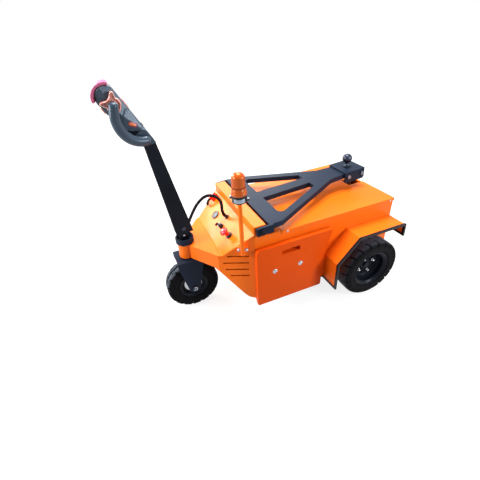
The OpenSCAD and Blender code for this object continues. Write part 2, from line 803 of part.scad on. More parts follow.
module tiller_arm() {
    outer = [[-arm_w0 / 2, -arm_low], [arm_w0 / 2, -arm_low], [arm_w1 / 2, arm_l], [-arm_w1 / 2, arm_l]];
    cut_l = 62;
    // Holes through the side plates: across and along the arm
    holes = [[18.8, 81], [-22.4, 59], [-12.3, 260]];
    hole_d = 6;
    color(black) on_tiller() {
        difference() {
            across(-arm_t / 2, arm_t / 2) polygon(outer);
            across(-arm_t / 2 + arm_wall, arm_t / 2 - arm_wall) polygon([
                [-arm_w0 / 2 + arm_wall, -arm_low - 1], [arm_w0 / 2 - arm_wall, -arm_low - 1],
                [arm_w1 / 2 - arm_wall, arm_l - arm_wall], [-arm_w1 / 2 + arm_wall, arm_l - arm_wall]]);
            translate([0, -arm_t / 2 + arm_wall, -arm_low - 1])
                cube([arm_w0, arm_t - 2 * arm_wall, arm_low + cut_l]);
            for (h = holes) on_y(h[0], -arm_t / 2 - 1, h[1]) cylinder(d = hole_d, h = arm_t + 2);
        }
        on_y(0, -arm_t / 2 - 2, 0) cylinder(d = tilt_d, h = arm_t + 4);
    }
}

// Half widths of the console: distance along the head, half width
console_plan = [[-40, 30], [40, 37], [110, console_y - 7], [190, console_y], [400, console_y]];
// Its outline from the side: distance along the head, place across its depth
console_side = [[-20, -console_back], [cap_s + 18, -console_back], [cap_s, cap_t], [cap_s + 8, 57], [212, 57],
    [160, 36], [80, 32], [-20, 30]];
// Its cross-section, with a crease along each side: place across its depth, half width
console_section = [[-console_back, console_y - 17], [cap_t, console_y], [74, console_y - 30]];
function both(half) = concat(half, [for (p = reversed(half)) [p[0], -p[1]]]);

// Space between the console's sides
module console_space() {
    intersection() {
        rotate([0, 90, 0]) translate([0, 0, -100]) linear_extrude(200)
            polygon(both([for (p = console_plan) [-p[0], p[1]]]));
        translate([0, 0, -60]) linear_extrude(450) polygon(both(console_section));
    }
}

module console_body() {
    intersection() {
        union() {
            across(-console_y, console_y) polygon([for (p = console_side) [p[1], p[0]]]);
            on_y(cap_t, -console_y, cap_s) cylinder(r = tip_r, h = 2 * console_y);
        }
        console_space();
    }
}

module console() {
    color(slate) difference() {
        on_head() console_body();
        on_tiller() translate([-150, -100, arm_l - 120]) cube([300, 200, 120]);
    }
}

// Points of a grip's middle line in the head's frame: end of its straight part, bow, foot
grip_points = [[27, grip_y, 209], [56, grip_y - 13, 130], [0.5, 37, 27]];
grip_straight = 29;

// Middle of the circle through three points
function arc_middle(p) = let(a = p[1] - p[0], b = p[2] - p[0], n = cross(a, b))
    p[0] + (cross(cross(a, b), a) * (b * b) + cross(b, cross(a, b)) * (a * a)) / (2 * n * n);

grip_n = unit(cross(grip_points[1] - grip_points[0], grip_points[2] - grip_points[0]));
grip_mid = arc_middle(grip_points);
grip_top = grip_points[0] - grip_straight * cross(grip_n, unit(grip_points[0] - grip_mid));

// A tube of radius r along the circle through three points, with a straight part and a domed end before
// the first
module arc_tube(p, r, straight) {
    n = unit(cross(p[1] - p[0], p[2] - p[0]));
    c = arc_middle(p);
    tilt = acos(n[2]);
    turn = atan2(n[1], n[0]);
    ex = [cos(tilt) * cos(turn), cos(tilt) * sin(turn), -sin(tilt)];
    ey = [-sin(turn), cos(turn), 0];
    start = atan2((p[0] - c) * ey, (p[0] - c) * ex);
    end = atan2((p[2] - c) * ey, (p[2] - c) * ex);
    sweep = end > start ? end - start : end - start + 360;
    translate(c) rotate([0, tilt, turn]) rotate([0, 0, start]) {
        rotate_extrude(angle = sweep, $fn = 96) translate([norm(p[0] - c), 0]) circle(r = r, $fn = 32);
        translate([norm(p[0] - c), 0, 0]) rotate([90, 0, 0]) {
            cylinder(r = r, h = straight, $fn = 32);
            translate([0, 0, straight]) cylinder(r1 = r, r2 = r * 0.85, h = r * 0.45, $fn = 32);
            translate([0, 0, straight + r * 0.45]) cylinder(r1 = r * 0.85, r2 = r * 0.45, h = r * 0.35, $fn = 32);
        }
    }
}

module grip(side) {
    color(slate) on_head() mirrored(side) difference() {
        union() {
            arc_tube(grip_points, grip_r, grip_straight);
            on_y(grip_top[0], console_y - 24, grip_top[2])
                cylinder(r = grip_r - 4, h = grip_top[1] - console_y + 24);
        }
        console_body();
    }
}

// Two circles and the band that touches both
module tapered(a, ra, b, rb) {
    d = norm(b - a);
    u = (b - a) / d;
    n = [-u[1], u[0]];
    c = (ra - rb) / d;
    e = sqrt(1 - c * c);
    polygon([a + ra * (c * u + e * n), b + rb * (c * u + e * n), b + rb * (c * u - e * n), a + ra * (c * u - e * n)]);
    translate(a) circle(r = ra);
    translate(b) circle(r = rb);
}

module throttles() {
    // Wing tips beside the axle: across the head, along the head
    wings = [[-29, 45], [40, 36]];
    hub_r = 29;
    wing_r = 6;
    horn = 9;
    hole_r = grip_r - 3.7;
    color("lightsalmon") on_head() for (side = [-1, 1]) mirrored(side)
        translate([grip_top[0], console_y + seat_gap, grip_top[2]]) rotate([-90, 0, 0]) {
            linear_extrude(throttle_t) difference() {
                for (w = wings) tapered([0, 0], hub_r, [w[0], -w[1]], wing_r);
                circle(r = hole_r);
            }
            for (w = wings) translate([w[0], -w[1], throttle_t - 1]) cylinder(r = wing_r - 0.6, h = horn);
        }
}

module belly_button() {
    y = console_y - 11;
    base_r = cap_r - 6;
    cut_s = 27;
    color("lightpink") on_head() difference() {
        union() {
            on_y(cap_t, -y, cap_s) cylinder(r = cap_r, h = 2 * y);
            on_y(cap_t, -y - 2, cap_s) cylinder(r = base_r, h = 2 * y + 4);
        }
        on_y(cap_t, -console_y, cap_s) cylinder(r = tip_r + seat_gap, h = 2 * console_y);
        translate([cap_t, 0, cap_s]) rotate([0, 12.5, 0])
            translate([-2 * cap_r, -console_y, cut_s - 5 * cap_r]) cube([4 * cap_r, 2 * console_y, 5 * cap_r]);
        translate([-console_back - 2 * cap_r, -console_y, 0]) cube([2 * cap_r, 2 * console_y, 2 * cap_s]);
    }
}

module head_buttons() {
    back_l = 50;
    belly_l = 32;
    side_l = 38;
    side_w = 14;
    color("darkorange") on_head() {
        translate([-console_back - 8, -30, 176]) cube([8, 60, back_l]);
        translate([-console_back, 0, 86]) rotate([0, -90, 0]) cylinder(r = 10, h = 4);
        translate([57, -26, 214]) cube([6, 52, belly_l]);
        for (side = [-1, 1]) mirrored(side) difference() {
            translate([0, console_y - 2, 122]) rotate([0, 46, 0])
                translate([-side_w / 2, -20, -side_l / 2]) cube([side_w, 20, side_l]);
            console_space();
        }
    }
}

// Hitch arm, drawn with x running back from the pivot axis

// The arm's outline, moved outwards by d on every side
module arm_outline(d) {
    kink_y = neck_y + 10;
    half = [[frame_front, frame_w / 2], [frame_front + 73, frame_w / 2], [neck_start, kink_y],
        [hitch_start, neck_y], [neck_end, neck_y]];
    inner = side_of(half, d);
    edge = [for (p = inner) [max(frame_front - d, min(neck_end + d, p[0])), p[1]]];
    polygon(concat(edge, [for (p = reversed(edge)) [p[0], -p[1]]]));
}

module window_outline(side, grow) {
    leg_y0 = frame_w / 2 - 61;
    leg_y1 = 86;
    p = [[window_front - grow, spar_y + 3 - grow], [window_end + grow, spar_y - grow],
        [window_end + grow, leg_y1 + grow], [window_front - grow, leg_y0 + grow]];
    mirror([0, side > 0 ? 0 : 1, 0]) polygon(rounded(p, [3, 3, 3, 26]));
}

module arm_frame() {
    color(black) on_arm() {
        difference() {
            translate([0, 0, frame_top - frame_h]) linear_extrude(frame_h) difference() {
                arm_outline(0);
                for (side = [-1, 1]) window_outline(side, 0);
            }
            translate([0, 0, frame_top - frame_h - 1]) linear_extrude(frame_h - frame_t + 1) difference() {
                arm_outline(-frame_t);
                for (side = [-1, 1]) window_outline(side, frame_t);
            }
            on_y(hitch_start + 26, -neck_y - 1, 0) cylinder(r = pin_d / 2 + run_gap, h = 2 * neck_y + 2);
        }
        for (side = [-1, 1]) mirrored(side) difference() {
            across(half_w + lug_gap, half_w + lug_gap + lug_t) polygon(rounded([
                [-33, frame_top + 2 - lug_h], [frame_front + 20, frame_top + 2 - lug_h],
                [frame_front + 20, frame_top], [-33, frame_top]], [8, 0, 0, 4]));
            on_y(0, half_w, 0) cylinder(r = pivot_d / 2 + run_gap, h = 40);
        }
    }
}

module hitch_head() {
    gap = 0.5;
    low = hitch_top - cheek_h;
    cheek = [[hitch_start, low], [hitch_start + hitch_l, low], [hitch_start + hitch_l, hitch_top - hitch_t],
        [hitch_start, hitch_top - hitch_t]];
    color(black) on_arm() difference() {
        union() {
            translate([hitch_start, -hitch_y, hitch_top - hitch_t]) cube([hitch_l, 2 * hitch_y, hitch_t]);
            for (side = [-1, 1]) mirrored(side)
                across(hitch_y - hitch_t, hitch_y) polygon(rounded(cheek, [6, 16, 0, 0]));
        }
        for (u = [hitch_start + 26, hitch_start + hitch_l - 18])
            on_y(u, -hitch_y - 1, 0) cylinder(r = pin_d / 2 + run_gap, h = 2 * hitch_y + 2);
    }
}

module tow_ball() {
    r = ball_d / 2;
    color(slate) on_arm() translate([hitch_start + hitch_l / 2, 0, hitch_top]) {
        rotate_extrude() polygon([[0, 0], [23, 0], [23, 5], [15, 12], [12, 22], [12, ball_h], [0, ball_h]]);
        translate([0, 0, ball_h]) sphere(r = r);
    }
}

module cross_pins() {
    color(steel) on_arm() for (u = [hitch_start + 26, hitch_start + hitch_l - 18]) {
        on_y(u, -hitch_y - 3, 0) cylinder(d = pin_d, h = 2 * hitch_y + 6);
        for (side = [-1, 1]) on_y(u, side * (hitch_y + 4) - 4, 0) cylinder(d = pin_d + 8, h = 8);
    }
}

module lift_clevis() {
    ear_t = 8;
    ear_y = 17;
    plate = frame_top - frame_t;
    under = frame_top - frame_h;
    start = hitch_start + 26 + pin_d / 2 + 5;
    color(black) on_arm() {
        for (side = [-1, 1]) mirrored(side) across(ear_y, ear_y + ear_t)
            polygon(concat([[start, under], [start, plate], [neck_end - frame_t, plate],
                [neck_end - frame_t, under], [neck_end, under]], reversed(arc([eye_u, -eye_w], 18, 180, 360))));
        on_y(eye_u, -ear_y - ear_t - 3, -eye_w) cylinder(d = 12, h = 2 * (ear_y + ear_t) + 6);
    }
}

// Lift: the tube swings on its foot pin and the rod slides out of it

eye_x = pivot_x - eye_u * cos(arm_slope) - eye_w * sin(arm_slope);
eye_z = pivot_z + eye_u * sin(arm_slope) - eye_w * cos(arm_slope);
lift_a = atan2(eye_x + foot_back, eye_z - foot_z);
lift_len = norm([eye_x + foot_back, eye_z - foot_z]);

module on_lift() { translate([-foot_back, 0, foot_z]) rotate([0, lift_a, 0]) children(); }

module lift_tube() {
    color(slate) on_lift() {
        difference() {
            cylinder(d = tube_d, h = tube_l);
            translate([0, 0, 30]) cylinder(r = rod_d / 2 + run_gap, h = tube_l);
        }
    }
    color(steel) on_y(-foot_back, -tube_d / 2 - 10, foot_z) cylinder(d = pin_d, h = tube_d + 20);
}

module lift_rod() {
    eye_r = 22;
    eye_t = 24;
    color(steel) on_lift() difference() {
        union() {
            translate([0, 0, 40]) cylinder(d = rod_d, h = lift_len - 40 - eye_r + 4);
            on_y(0, -eye_t / 2, lift_len) cylinder(r = eye_r, h = eye_t);
        }
        on_y(0, -eye_t, lift_len) cylinder(r = 12, h = 2 * eye_t);
    }
}

place() body_shell();
place() pivot_housing();
place() pivot_pins();
place() lid();
place() nose_cover();
place() steering_head();
place() dust_collar();
place() base_plate();
place() battery_block();
place() rear_axle();
place() gear_housing();
place() drive_motor();
place() fender(1);  // fender_left
place() fender(-1);  // fender_right
place() fender_trim(1);  // fender_trim_left
place() fender_trim(-1);  // fender_trim_right
place() side_plate(1);  // side_plate_left
place() side_plate(-1);  // side_plate_right
place() beacon_post();
place() beacon_base();
place() beacon_lens();
place() charge_gauge();
place() emergency_stop();
place() key_switch();
place() charge_plug();
place() cable_glands();
place() control_cable();
place() rear_tyre(1);  // rear_tyre_left
place() rear_rim(1);  // rear_rim_left
place() rear_tyre(-1);  // rear_tyre_right
place() rear_rim(-1);  // rear_rim_right
place() fork();
place() tiller_bracket();
place() front_axle();
place() front_tyre();
place() front_rim();
place() tiller_arm();
place() console();
place() grip(1);  // grip_left
place() grip(-1);  // grip_right
place() throttles();
place() belly_button();
place() head_buttons();
place() arm_frame();
place() hitch_head();
place() tow_ball();
place() cross_pins();
place() lift_clevis();
place() lift_tube();
place() lift_rod();
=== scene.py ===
import json
import math

import bmesh
import bpy
import numpy as np
from mathutils import Matrix, Vector


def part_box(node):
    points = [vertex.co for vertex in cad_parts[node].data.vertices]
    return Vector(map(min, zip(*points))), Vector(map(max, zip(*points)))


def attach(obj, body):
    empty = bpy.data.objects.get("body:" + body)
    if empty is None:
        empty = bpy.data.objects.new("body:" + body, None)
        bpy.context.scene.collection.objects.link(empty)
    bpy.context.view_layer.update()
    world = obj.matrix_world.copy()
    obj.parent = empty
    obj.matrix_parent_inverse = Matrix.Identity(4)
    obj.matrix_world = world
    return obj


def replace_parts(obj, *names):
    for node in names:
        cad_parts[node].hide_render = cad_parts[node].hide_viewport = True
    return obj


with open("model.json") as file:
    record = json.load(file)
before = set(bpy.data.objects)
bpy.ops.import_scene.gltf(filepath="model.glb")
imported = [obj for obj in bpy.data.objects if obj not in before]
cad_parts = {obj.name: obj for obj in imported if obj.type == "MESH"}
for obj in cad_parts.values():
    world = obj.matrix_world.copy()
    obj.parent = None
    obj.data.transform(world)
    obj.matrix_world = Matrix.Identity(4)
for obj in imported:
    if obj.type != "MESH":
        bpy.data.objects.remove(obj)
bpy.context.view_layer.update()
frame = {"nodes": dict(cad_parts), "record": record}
print("frame loaded:", len(frame["nodes"]), "nodes")

scene = bpy.context.scene
scene.view_settings.view_transform = "Standard"


def placed(name, data):  # a new object in the scene
    obj = bpy.data.objects.new(name, data)
    scene.collection.objects.link(obj)
    return obj


# Camera

camera = {
    "place": (0.6867, 1.475, 1.511),  # metres, in the tug's frame
    "yaw": -107.67,  # degrees from +X
    "pitch": -31.83,
    "roll": -5.67,
    "lens": 23.3,  # on a 36 mm sensor
    "shift": (0.0335, -0.0437),
}


def aimCamera(values):
    data = bpy.data.cameras.new("viewCamera")
    data.sensor_width = 36
    data.lens = values["lens"]
    data.shift_x, data.shift_y = values["shift"]
    data.clip_end = 60
    yaw, pitch, roll = (math.radians(values[k]) for k in ("yaw", "pitch", "roll"))
    turn = (Matrix.Rotation(yaw - math.pi / 2, 4, "Z") @ Matrix.Rotation(pitch + math.pi / 2, 4, "X")
            @ Matrix.Rotation(roll, 4, "Z"))
    scene.camera = placed("viewCamera", data)
    scene.camera.matrix_world = Matrix.Translation(values["place"]) @ turn


aimCamera(camera)

# Shader helpers: a Wire wraps one socket, and an expression on wires adds its Math nodes


class Wire:
    def __init__(self, finish, socket):
        self.finish = finish
        self.socket = socket

    def maths(self, operation, first, second):
        return self.finish.node("ShaderNodeMath", {"operation": operation}, {0: first, 1: second})

    def __add__(self, other):
        return self.maths("ADD", self, other)

    def __sub__(self, other):
        return self.maths("SUBTRACT", self, other)

    def __rsub__(self, other):
        return self.maths("SUBTRACT", other, self)

    def __mul__(self, other):
        return self.maths("MULTIPLY", self, other)

    __radd__, __rmul__ = __add__, __mul__

    def clamp(self):
        return self.finish.node("ShaderNodeMath", {"operation": "ADD", "use_clamp": True}, {0: self, 1: 0})


class Finish:
    def __init__(self, name, kind="materials", shader="Principled BSDF"):
        self.block = getattr(bpy.data, kind).new(name)
        self.block.use_nodes = True
        self.tree = self.block.node_tree
        self.shader = self.tree.nodes[shader]

    def link(self, value, socket):
        if isinstance(value, Wire):
            self.tree.links.new(value.socket, socket)
        else:
            socket.default_value = value

    def node(self, kind, settings=None, values=None, output=0):
        made = self.tree.nodes.new(kind)
        for key, value in (settings or {}).items():
            setattr(made, key, value)
        for key, value in (values or {}).items():
            self.link(value, made.inputs[key])
        return Wire(self, made.outputs[output])

    def place(self):
        return self.node("ShaderNodeTexCoord", output="Object")

    def noise(self, scale, detail=3, roughness=0.5):
        return self.node("ShaderNodeTexNoise", None,
                         {"Vector": self.place(), "Scale": scale, "Detail": detail, "Roughness": roughness})

    def spread(self, wire, low, high):  # 0 below low, 1 above high, smooth between
        return self.node("ShaderNodeMapRange", {"interpolation_type": "SMOOTHSTEP", "clamp": True},
                         {"Value": wire, "From Min": low, "From Max": high})

    def mix(self, amount, first, second):
        return self.node("ShaderNodeMix", {"data_type": "RGBA"}, {"Factor": amount, 6: first, 7: second}, 2)

    def height(self):  # height above the floor
        return self.node("ShaderNodeSeparateXYZ", None, {0: self.place()}, output=2)

    def bump(self, field, strength, distance):
        values = {"Strength": strength, "Distance": distance, "Height": field}
        self.set(Normal=self.node("ShaderNodeBump", None, values))

    def set(self, **values):
        for key, value in values.items():
            self.link(value, self.shader.inputs[key.replace("_", " ")])


def shaded(color, part):
    return tuple(c * part for c in color[:3]) + (1,)


# dust and bloom are grime; the scuff colour is partly scuffed rubber and partly painted sheen, its blue-grey standing
# in for light on the tread
grimeAndSheen = {"dust": (0.3, 0.25, 0.2, 1), "bloom": (0.11, 0.105, 0.1, 1), "treadScuffAndSheen": (0.06, 0.07, 0.092, 1)}


def paint(name, color, rough, level=0.5, tint=(1, 1, 1, 1), dusty=0, grain=900):
    # Powder coat: fine orange peel over a slower wave, small changes of shade, and a trace of road dust low down
    made = Finish(name)
    shade = made.mix(made.spread(made.noise(3.2, 4), 0.35, 0.65), color, shaded(color, 0.93))
    low = 1.0 - made.spread(made.height(), 0.06, 0.34)
    dust = (low * made.spread(made.noise(22, 6, 0.66), 0.5, 0.8) * dusty).clamp()
    made.set(Base_Color=made.mix(dust, shade, grimeAndSheen["dust"]), Specular_IOR_Level=level, Specular_Tint=tint,
             Roughness=(rough + 0.08 * (made.noise(38) - 0.5) + 0.30 * dust).clamp())
    made.bump(made.noise(grain, 2) + 2.2 * made.noise(grain / 7, 2), 0.12, 0.0004)
    return made.block


def rubber(name, color, rough, dusty):
    # Moulded rubber: mould skin, a grey bloom in patches, and a blue-grey where the attribute marks a tread's running
    # face, partly scuffed rubber and partly painted sheen
    made = Finish(name)
    bloom = (made.spread(made.noise(24, 5, 0.6), 0.45, 0.78) * dusty).clamp()
    wornAndSheen = made.node("ShaderNodeAttribute", {"attribute_name": "wornAndSheen"}, output=2)
    scuffedAndSheened = made.mix((wornAndSheen * (0.65 + 0.7 * made.noise(45, 4, 0.6))).clamp(), color, grimeAndSheen["treadScuffAndSheen"])
    made.set(Base_Color=made.mix(bloom, scuffedAndSheened, grimeAndSheen["bloom"]), Specular_IOR_Level=0.04,
             Roughness=(rough + 0.16 * (made.noise(60) - 0.5)).clamp())
    made.bump(made.noise(220, 4, 0.6), 0.22, 0.0005)
    return made.block


def plastic(name, color, rough, grain, depth, coat=0, level=0.5, tint=(1, 1, 1, 1)):
    # Moulded plastic with an etched grain
    made = Finish(name)
    cells = made.node("ShaderNodeTexVoronoi", {"feature": "SMOOTH_F1"}, {"Vector": made.place(), "Scale": grain})
    shade = made.mix(made.spread(made.noise(9, 4), 0.3, 0.7), color, shaded(color, 0.88))
    made.set(Base_Color=shade, Roughness=(rough + 0.10 * (made.noise(70) - 0.5)).clamp(), Coat_Weight=coat,
             Coat_Roughness=0.08, Specular_IOR_Level=level, Specular_Tint=tint)
    made.bump(cells, depth, 0.0004)
    return made.block


def metal(name, color, rough, scratch):
    # Plated or machined steel with fine scratches and cloudy plating
    made = Finish(name)
    cloud = made.noise(45, 5, 0.6)
    lines = made.noise(600, 2)
    shade = made.mix(made.spread(cloud, 0.35, 0.7), color, shaded(color, 0.78))
    made.set(Base_Color=shade, Metallic=1, Roughness=(rough + scratch * (lines - 0.5) + 0.15 * (cloud - 0.5)).clamp())
    made.bump(lines, 0.08, 0.0003)
    return made.block


def lensPlastic(name, color, clear):
    # Tinted plastic with faint streaks; the gloss has the tint too, so that white surroundings don't pale it
    made = Finish(name)
    streak = made.noise(30)
    made.set(Base_Color=made.mix(streak, color, shaded(color, 0.8)), Roughness=(0.24 + 0.10 * streak).clamp(),
             Transmission_Weight=clear, IOR=1.4, Specular_IOR_Level=0.9, Specular_Tint=(1, 0.66, 0.22, 1),
             Coat_Weight=0.16, Coat_Roughness=0.08)
    return made.block


bluish, warm = (0.72, 0.84, 1, 1), (1, 0.8, 0.45, 1)  # tints of the gloss
finishes = {  # the record's slots under their own names, and in camelCase what only this file uses
    "orange_paint": paint("orangePaint", (0.93, 0.158, 0.006, 1), 0.36, 0.26, warm, dusty=0.08),
    # the side plates' darker orange is painted shade: a shaded copy of the orange paint
    "platePaintedShade": paint("platePaintedShade", (0.81, 0.084, 0.003, 1), 0.4, 0.11, warm, dusty=0.08),
    "black_paint": paint("blackPaint", (0.0065, 0.0075, 0.0125, 1), 0.36, 0.1, bluish, dusty=0.03),
    # lighter blue-black than the black paint: dark paint with a painted reflection of a bright sky in its blue tone
    "armPaintAndSkySheen": paint("armPaintAndSkySheen", (0.01, 0.017, 0.034, 1), 0.4, 0.09, bluish, dusty=0.03),
    "trimRubber": plastic("trimRubber", (0.009, 0.009, 0.013, 1), 0.36, 900, 0.1, level=0.16),
    "grey_paint": paint("greyPaint", (0.1, 0.11, 0.13, 1), 0.38, dusty=0.1),
    "cast_grey": paint("castGrey", (0.11, 0.12, 0.13, 1), 0.58, dusty=0.4, grain=260),
    "bright_steel": metal("brightSteel", (0.47, 0.48, 0.52, 1), 0.28, 0.1),
    "dark_steel": metal("darkSteel", (0.042, 0.05, 0.074, 1), 0.34, 0.12),
    "tyre_rubber": rubber("tyreRubber", (0.0042, 0.0038, 0.005, 1), 0.58, 0.03),
    "black_rubber": rubber("blackRubber", (0.01, 0.01, 0.014, 1), 0.42, 0.03),
    "black_plastic": plastic("blackPlastic", (0.012, 0.012, 0.014, 1), 0.36, 1500, 0.12, level=0.3),
    "slate_plastic": plastic("slatePlastic", (0.032, 0.052, 0.079, 1), 0.3, 1400, 0.05, level=0.38, tint=bluish),
    "red_plastic": plastic("redPlastic", (0.78, 0.02, 0.03, 1), 0.22, 2200, 0.03, coat=0.25),
    "pale_red_plastic": plastic("paleRedPlastic", (0.64, 0.165, 0.31, 1), 0.5, 1600, 0.08, level=0.08),
    "copper_plastic": plastic("copperPlastic", (0.8, 0.3, 0.24, 1), 0.2, 2000, 0.03, coat=0.8),
    "orange_plastic": plastic("orangePlastic", (0.88, 0.2, 0.03, 1), 0.3, 2000, 0.04),
    "amber_lens": lensPlastic("amberLens", (0.6, 0.078, 0.003, 1), 0.1),
    "battery_case": plastic("batteryCase", (0.05, 0.055, 0.06, 1), 0.55, 700, 0.3),
    "bandRed": plastic("bandRed", (0.13, 0.01, 0.002, 1), 0.35, 1600, 0.05, level=0.2),
    # near black: painted shade of the recess in the console's flank
    "recessPaintedShade": plastic("recessPaintedShade", (0.005, 0.0065, 0.01, 1), 0.55, 1500, 0.1, level=0.06),
    "maroon": plastic("maroonPlastic", (0.22, 0.012, 0.04, 1), 0.4, 1600, 0.08),
    "dialFace": plastic("dialFace", (0.09, 0.13, 0.165, 1), 0.4, 2200, 0.02, level=0.15),
    "pinSteel": metal("pinSteel", (0.16, 0.17, 0.21, 1), 0.38, 0.1),
    "plateSteel": metal("plateSteel", (0.27, 0.31, 0.37, 1), 0.42, 0.1),
    "nutSteel": metal("nutSteel", (0.8, 0.8, 0.83, 1), 0.22, 0.08),
    "lampCore": metal("lampCore", (0.9, 0.78, 0.55, 1), 0.18, 0.05),
}

for row in frame["record"]["subparts"]:
    mesh = frame["nodes"][row["node"]].data
    mesh.materials.clear()
    mesh.materials.append(finishes[row["material_slot"]])
repainted = {
    "platePaintedShade": ("side_plate_left", "side_plate_right"),
    "armPaintAndSkySheen": ("arm_frame", "hitch_head", "fork"),
    "pinSteel": ("cross_pins",),
    "trimRubber": ("fender_trim_left", "fender_trim_right"),
}
for finish, nodes in repainted.items():
    for node in nodes:
        frame["nodes"][node].data.materials[0] = finishes[finish]
print("finishes set:", len(finishes))

# Shapes are worked out in millimetres in one of these places, and show() puts them in the tug's frame

bodyOf = {node: body for body, nodes in frame["record"]["behaviour"]["bodies"].items() for node in nodes}
axleX = 1000 * float(np.mean([corner[0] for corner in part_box("rear_axle")]))
places = {  # origin from the rear axle, the middle plane and the floor; turn about y in degrees; side that x runs to
    "axle": ((0, 0, 0), 0, 1),
    "slope": ((712, 0, 598), 39.37, 1),
    "tiller": ((1018, 0, 575), 9.4, 1),
    "head": ((1100.3, 0, 1072.2), 27.8, 1),
    "arm": ((671, 0, 618), 3.3, -1),
    "lift": ((-126, 0, 190), 2.63, 1),
}


def spot(where, points):
    # x' = x cos a + z sin a and z' = z cos a - x sin a, then the place's origin; metres of the frame come out
    origin, angle, way = places[where]
    p = np.asarray(points, float) * (way, 1, 1)
    c, s = math.cos(math.radians(angle)), math.sin(math.radians(angle))
    moved = np.stack([p[:, 0] * c + p[:, 2] * s, p[:, 1], p[:, 2] * c - p[:, 0] * s], axis=1) + origin
    moved[:, 0] += axleX
    return moved / 1000


def onSlope(along, across):  # local place of a control on the sloping plate, from its level distance to the body
    return np.array([along / math.cos(math.radians(places["slope"][1])), across, 0])


def boxOf(node):  # lowest and highest corner in millimetres from the rear axle
    return np.array(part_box(node)) * 1000 - (axleX, 0, 0)


def smoothed(mesh, angle, sheet=False):  # one vertex per place, no needless edges, sharp only above an angle
    work = bmesh.new()
    work.from_mesh(mesh)
    bmesh.ops.remove_doubles(work, verts=work.verts, dist=1e-6)
    if sheet:
        bmesh.ops.dissolve_limit(work, angle_limit=math.radians(0.3), verts=work.verts, edges=work.edges)
    else:
        bmesh.ops.dissolve_degenerate(work, dist=1e-7, edges=work.edges)
        bmesh.ops.recalc_face_normals(work, faces=work.faces)
    work.to_mesh(mesh)
    work.free()
    mesh.shade_smooth()
    mesh.set_sharp_from_angle(angle=math.radians(angle))


def show(name, shape, slot, body="chassis", where="axle", smooth=35, finish=None):
    mesh = bpy.data.meshes.new(name)
    mesh.from_pydata(spot(where, shape[0]).tolist(), [], shape[1])
    mesh.materials.append(finishes[finish or slot])
    smoothed(mesh, smooth)
    obj = placed(name, mesh)
    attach(obj, body)
    return obj


def onHead(name, shape, slot, smooth=35, finish=None):
    return show(name, shape, slot, "tiller", "head", smooth, finish)


def onNose(name, shape, slot, smooth=35, finish=None):
    return show(name, shape, slot, "chassis", "slope", smooth, finish)


def gridFaces(nu, nv, loopU, loopV):  # quads of a grid whose rows and columns may close on themselves
    i = np.arange(nu if loopU else nu - 1)[:, None]
    j = np.arange(nv if loopV else nv - 1)
    i2, j2 = (i + 1) % nu, (j + 1) % nv
    quads = np.stack(np.broadcast_arrays(i * nv + j, i2 * nv + j, i2 * nv + j2, i * nv + j2), axis=-1)
    return quads.reshape(-1, 4).tolist()


def tubeFaces(rows, n):  # faces of a closed section of n points carried over rows, with both ends capped
    return gridFaces(rows, n, False, True) + [list(range(n)), [(rows - 1) * n + k for k in range(n)]]


def joined(*parts):  # several shapes as one
    verts, faces, start = [], [], 0
    for v, f in parts:
        verts.append(v)
        faces += [[int(i) + start for i in row] for row in f]
        start += len(v)
    return np.concatenate(verts), faces


upward = (0, 0, 1)


def frameOf(axis):  # two unit vectors square to an axis
    a = np.array(axis) / np.linalg.norm(axis)
    side = np.cross(a, upward) if abs(a[2]) < 0.9 else np.cross(a, (1, 0, 0))
    side /= np.linalg.norm(side)
    return a, side, np.cross(a, side)


def turned(profile, centre, axis, count=48, closed=False, start=0, flutes=None):
    # Each profile point (r, h) goes round the axis: centre + h*a + r*(cos t*s + sin t*q). Flutes (number, depth,
    # low, high) add depth*cos(number*t) to the radius between two heights
    a, s, q = frameOf(axis)
    t = np.linspace(0, 2 * np.pi, count, endpoint=False) + start
    r, h = np.array(profile, float).T
    radius = np.broadcast_to(r, (count, len(r)))
    if flutes:
        number, depth, low, high = flutes
        radius = radius + depth * np.cos(number * t)[:, None] * ((h > low) & (h < high) & (r > 0))
    ring = np.cos(t)[:, None] * s + np.sin(t)[:, None] * q
    points = centre + h[None, :, None] * a + radius[..., None] * ring[:, None, :]
    faces = gridFaces(count, len(r), True, closed)
    n = len(r)
    if not closed:
        caps = [[i * n for i in range(count)], [i * n + n - 1 for i in range(count)]]
        faces += [c for c, end in zip(caps, (r[0], r[-1])) if end > 0]
    return points.reshape(-1, 3), faces


def along(path, section, up=upward, scale=1):
    # Section point (a, b) at path point p: p + a*side + b*top, where side = up x direction, both ends capped
    path = np.asarray(path, float)
    tangent = np.gradient(path, axis=0)
    tangent /= np.linalg.norm(tangent, axis=1)[:, None]
    side = np.cross(up, tangent)
    side /= np.linalg.norm(side, axis=1)[:, None]
    top = np.cross(tangent, side)
    sec = np.asarray(section, float) * np.broadcast_to(scale, len(path))[:, None, None]
    points = path[:, None] + sec[..., :1] * side[:, None] + sec[..., 1:] * top[:, None]
    return points.reshape(-1, 3), tubeFaces(len(path), len(section))


def circle(radius, count, squash=1):
    t = np.linspace(0, 2 * np.pi, count, endpoint=False)
    return np.stack([radius * np.cos(t), radius * squash * np.sin(t)], axis=1)


def softOutline(points, radius, steps=5):
    # Each corner p becomes the curve (1-t)^2 a + 2t(1-t) p + t^2 b between points a and b at the radius from it
    p = np.asarray(points, float)
    before, after = np.roll(p, 1, 0) - p, np.roll(p, -1, 0) - p
    a = p + radius * before / np.linalg.norm(before, axis=1)[:, None]
    b = p + radius * after / np.linalg.norm(after, axis=1)[:, None]
    t = np.linspace(0, 1, steps)[:, None]
    return ((1 - t) ** 2 * a[:, None] + 2 * t * (1 - t) * p[:, None] + t**2 * b[:, None]).reshape(-1, 2)


def evenly(line, count, end=True):  # points evenly spaced along a line, with or without its end
    length = np.concatenate([[0], np.cumsum(np.linalg.norm(np.diff(line, axis=0), axis=1))])
    want = np.linspace(0, length[-1], count, endpoint=end)
    return np.stack([np.interp(want, length, row) for row in line.T], axis=1)


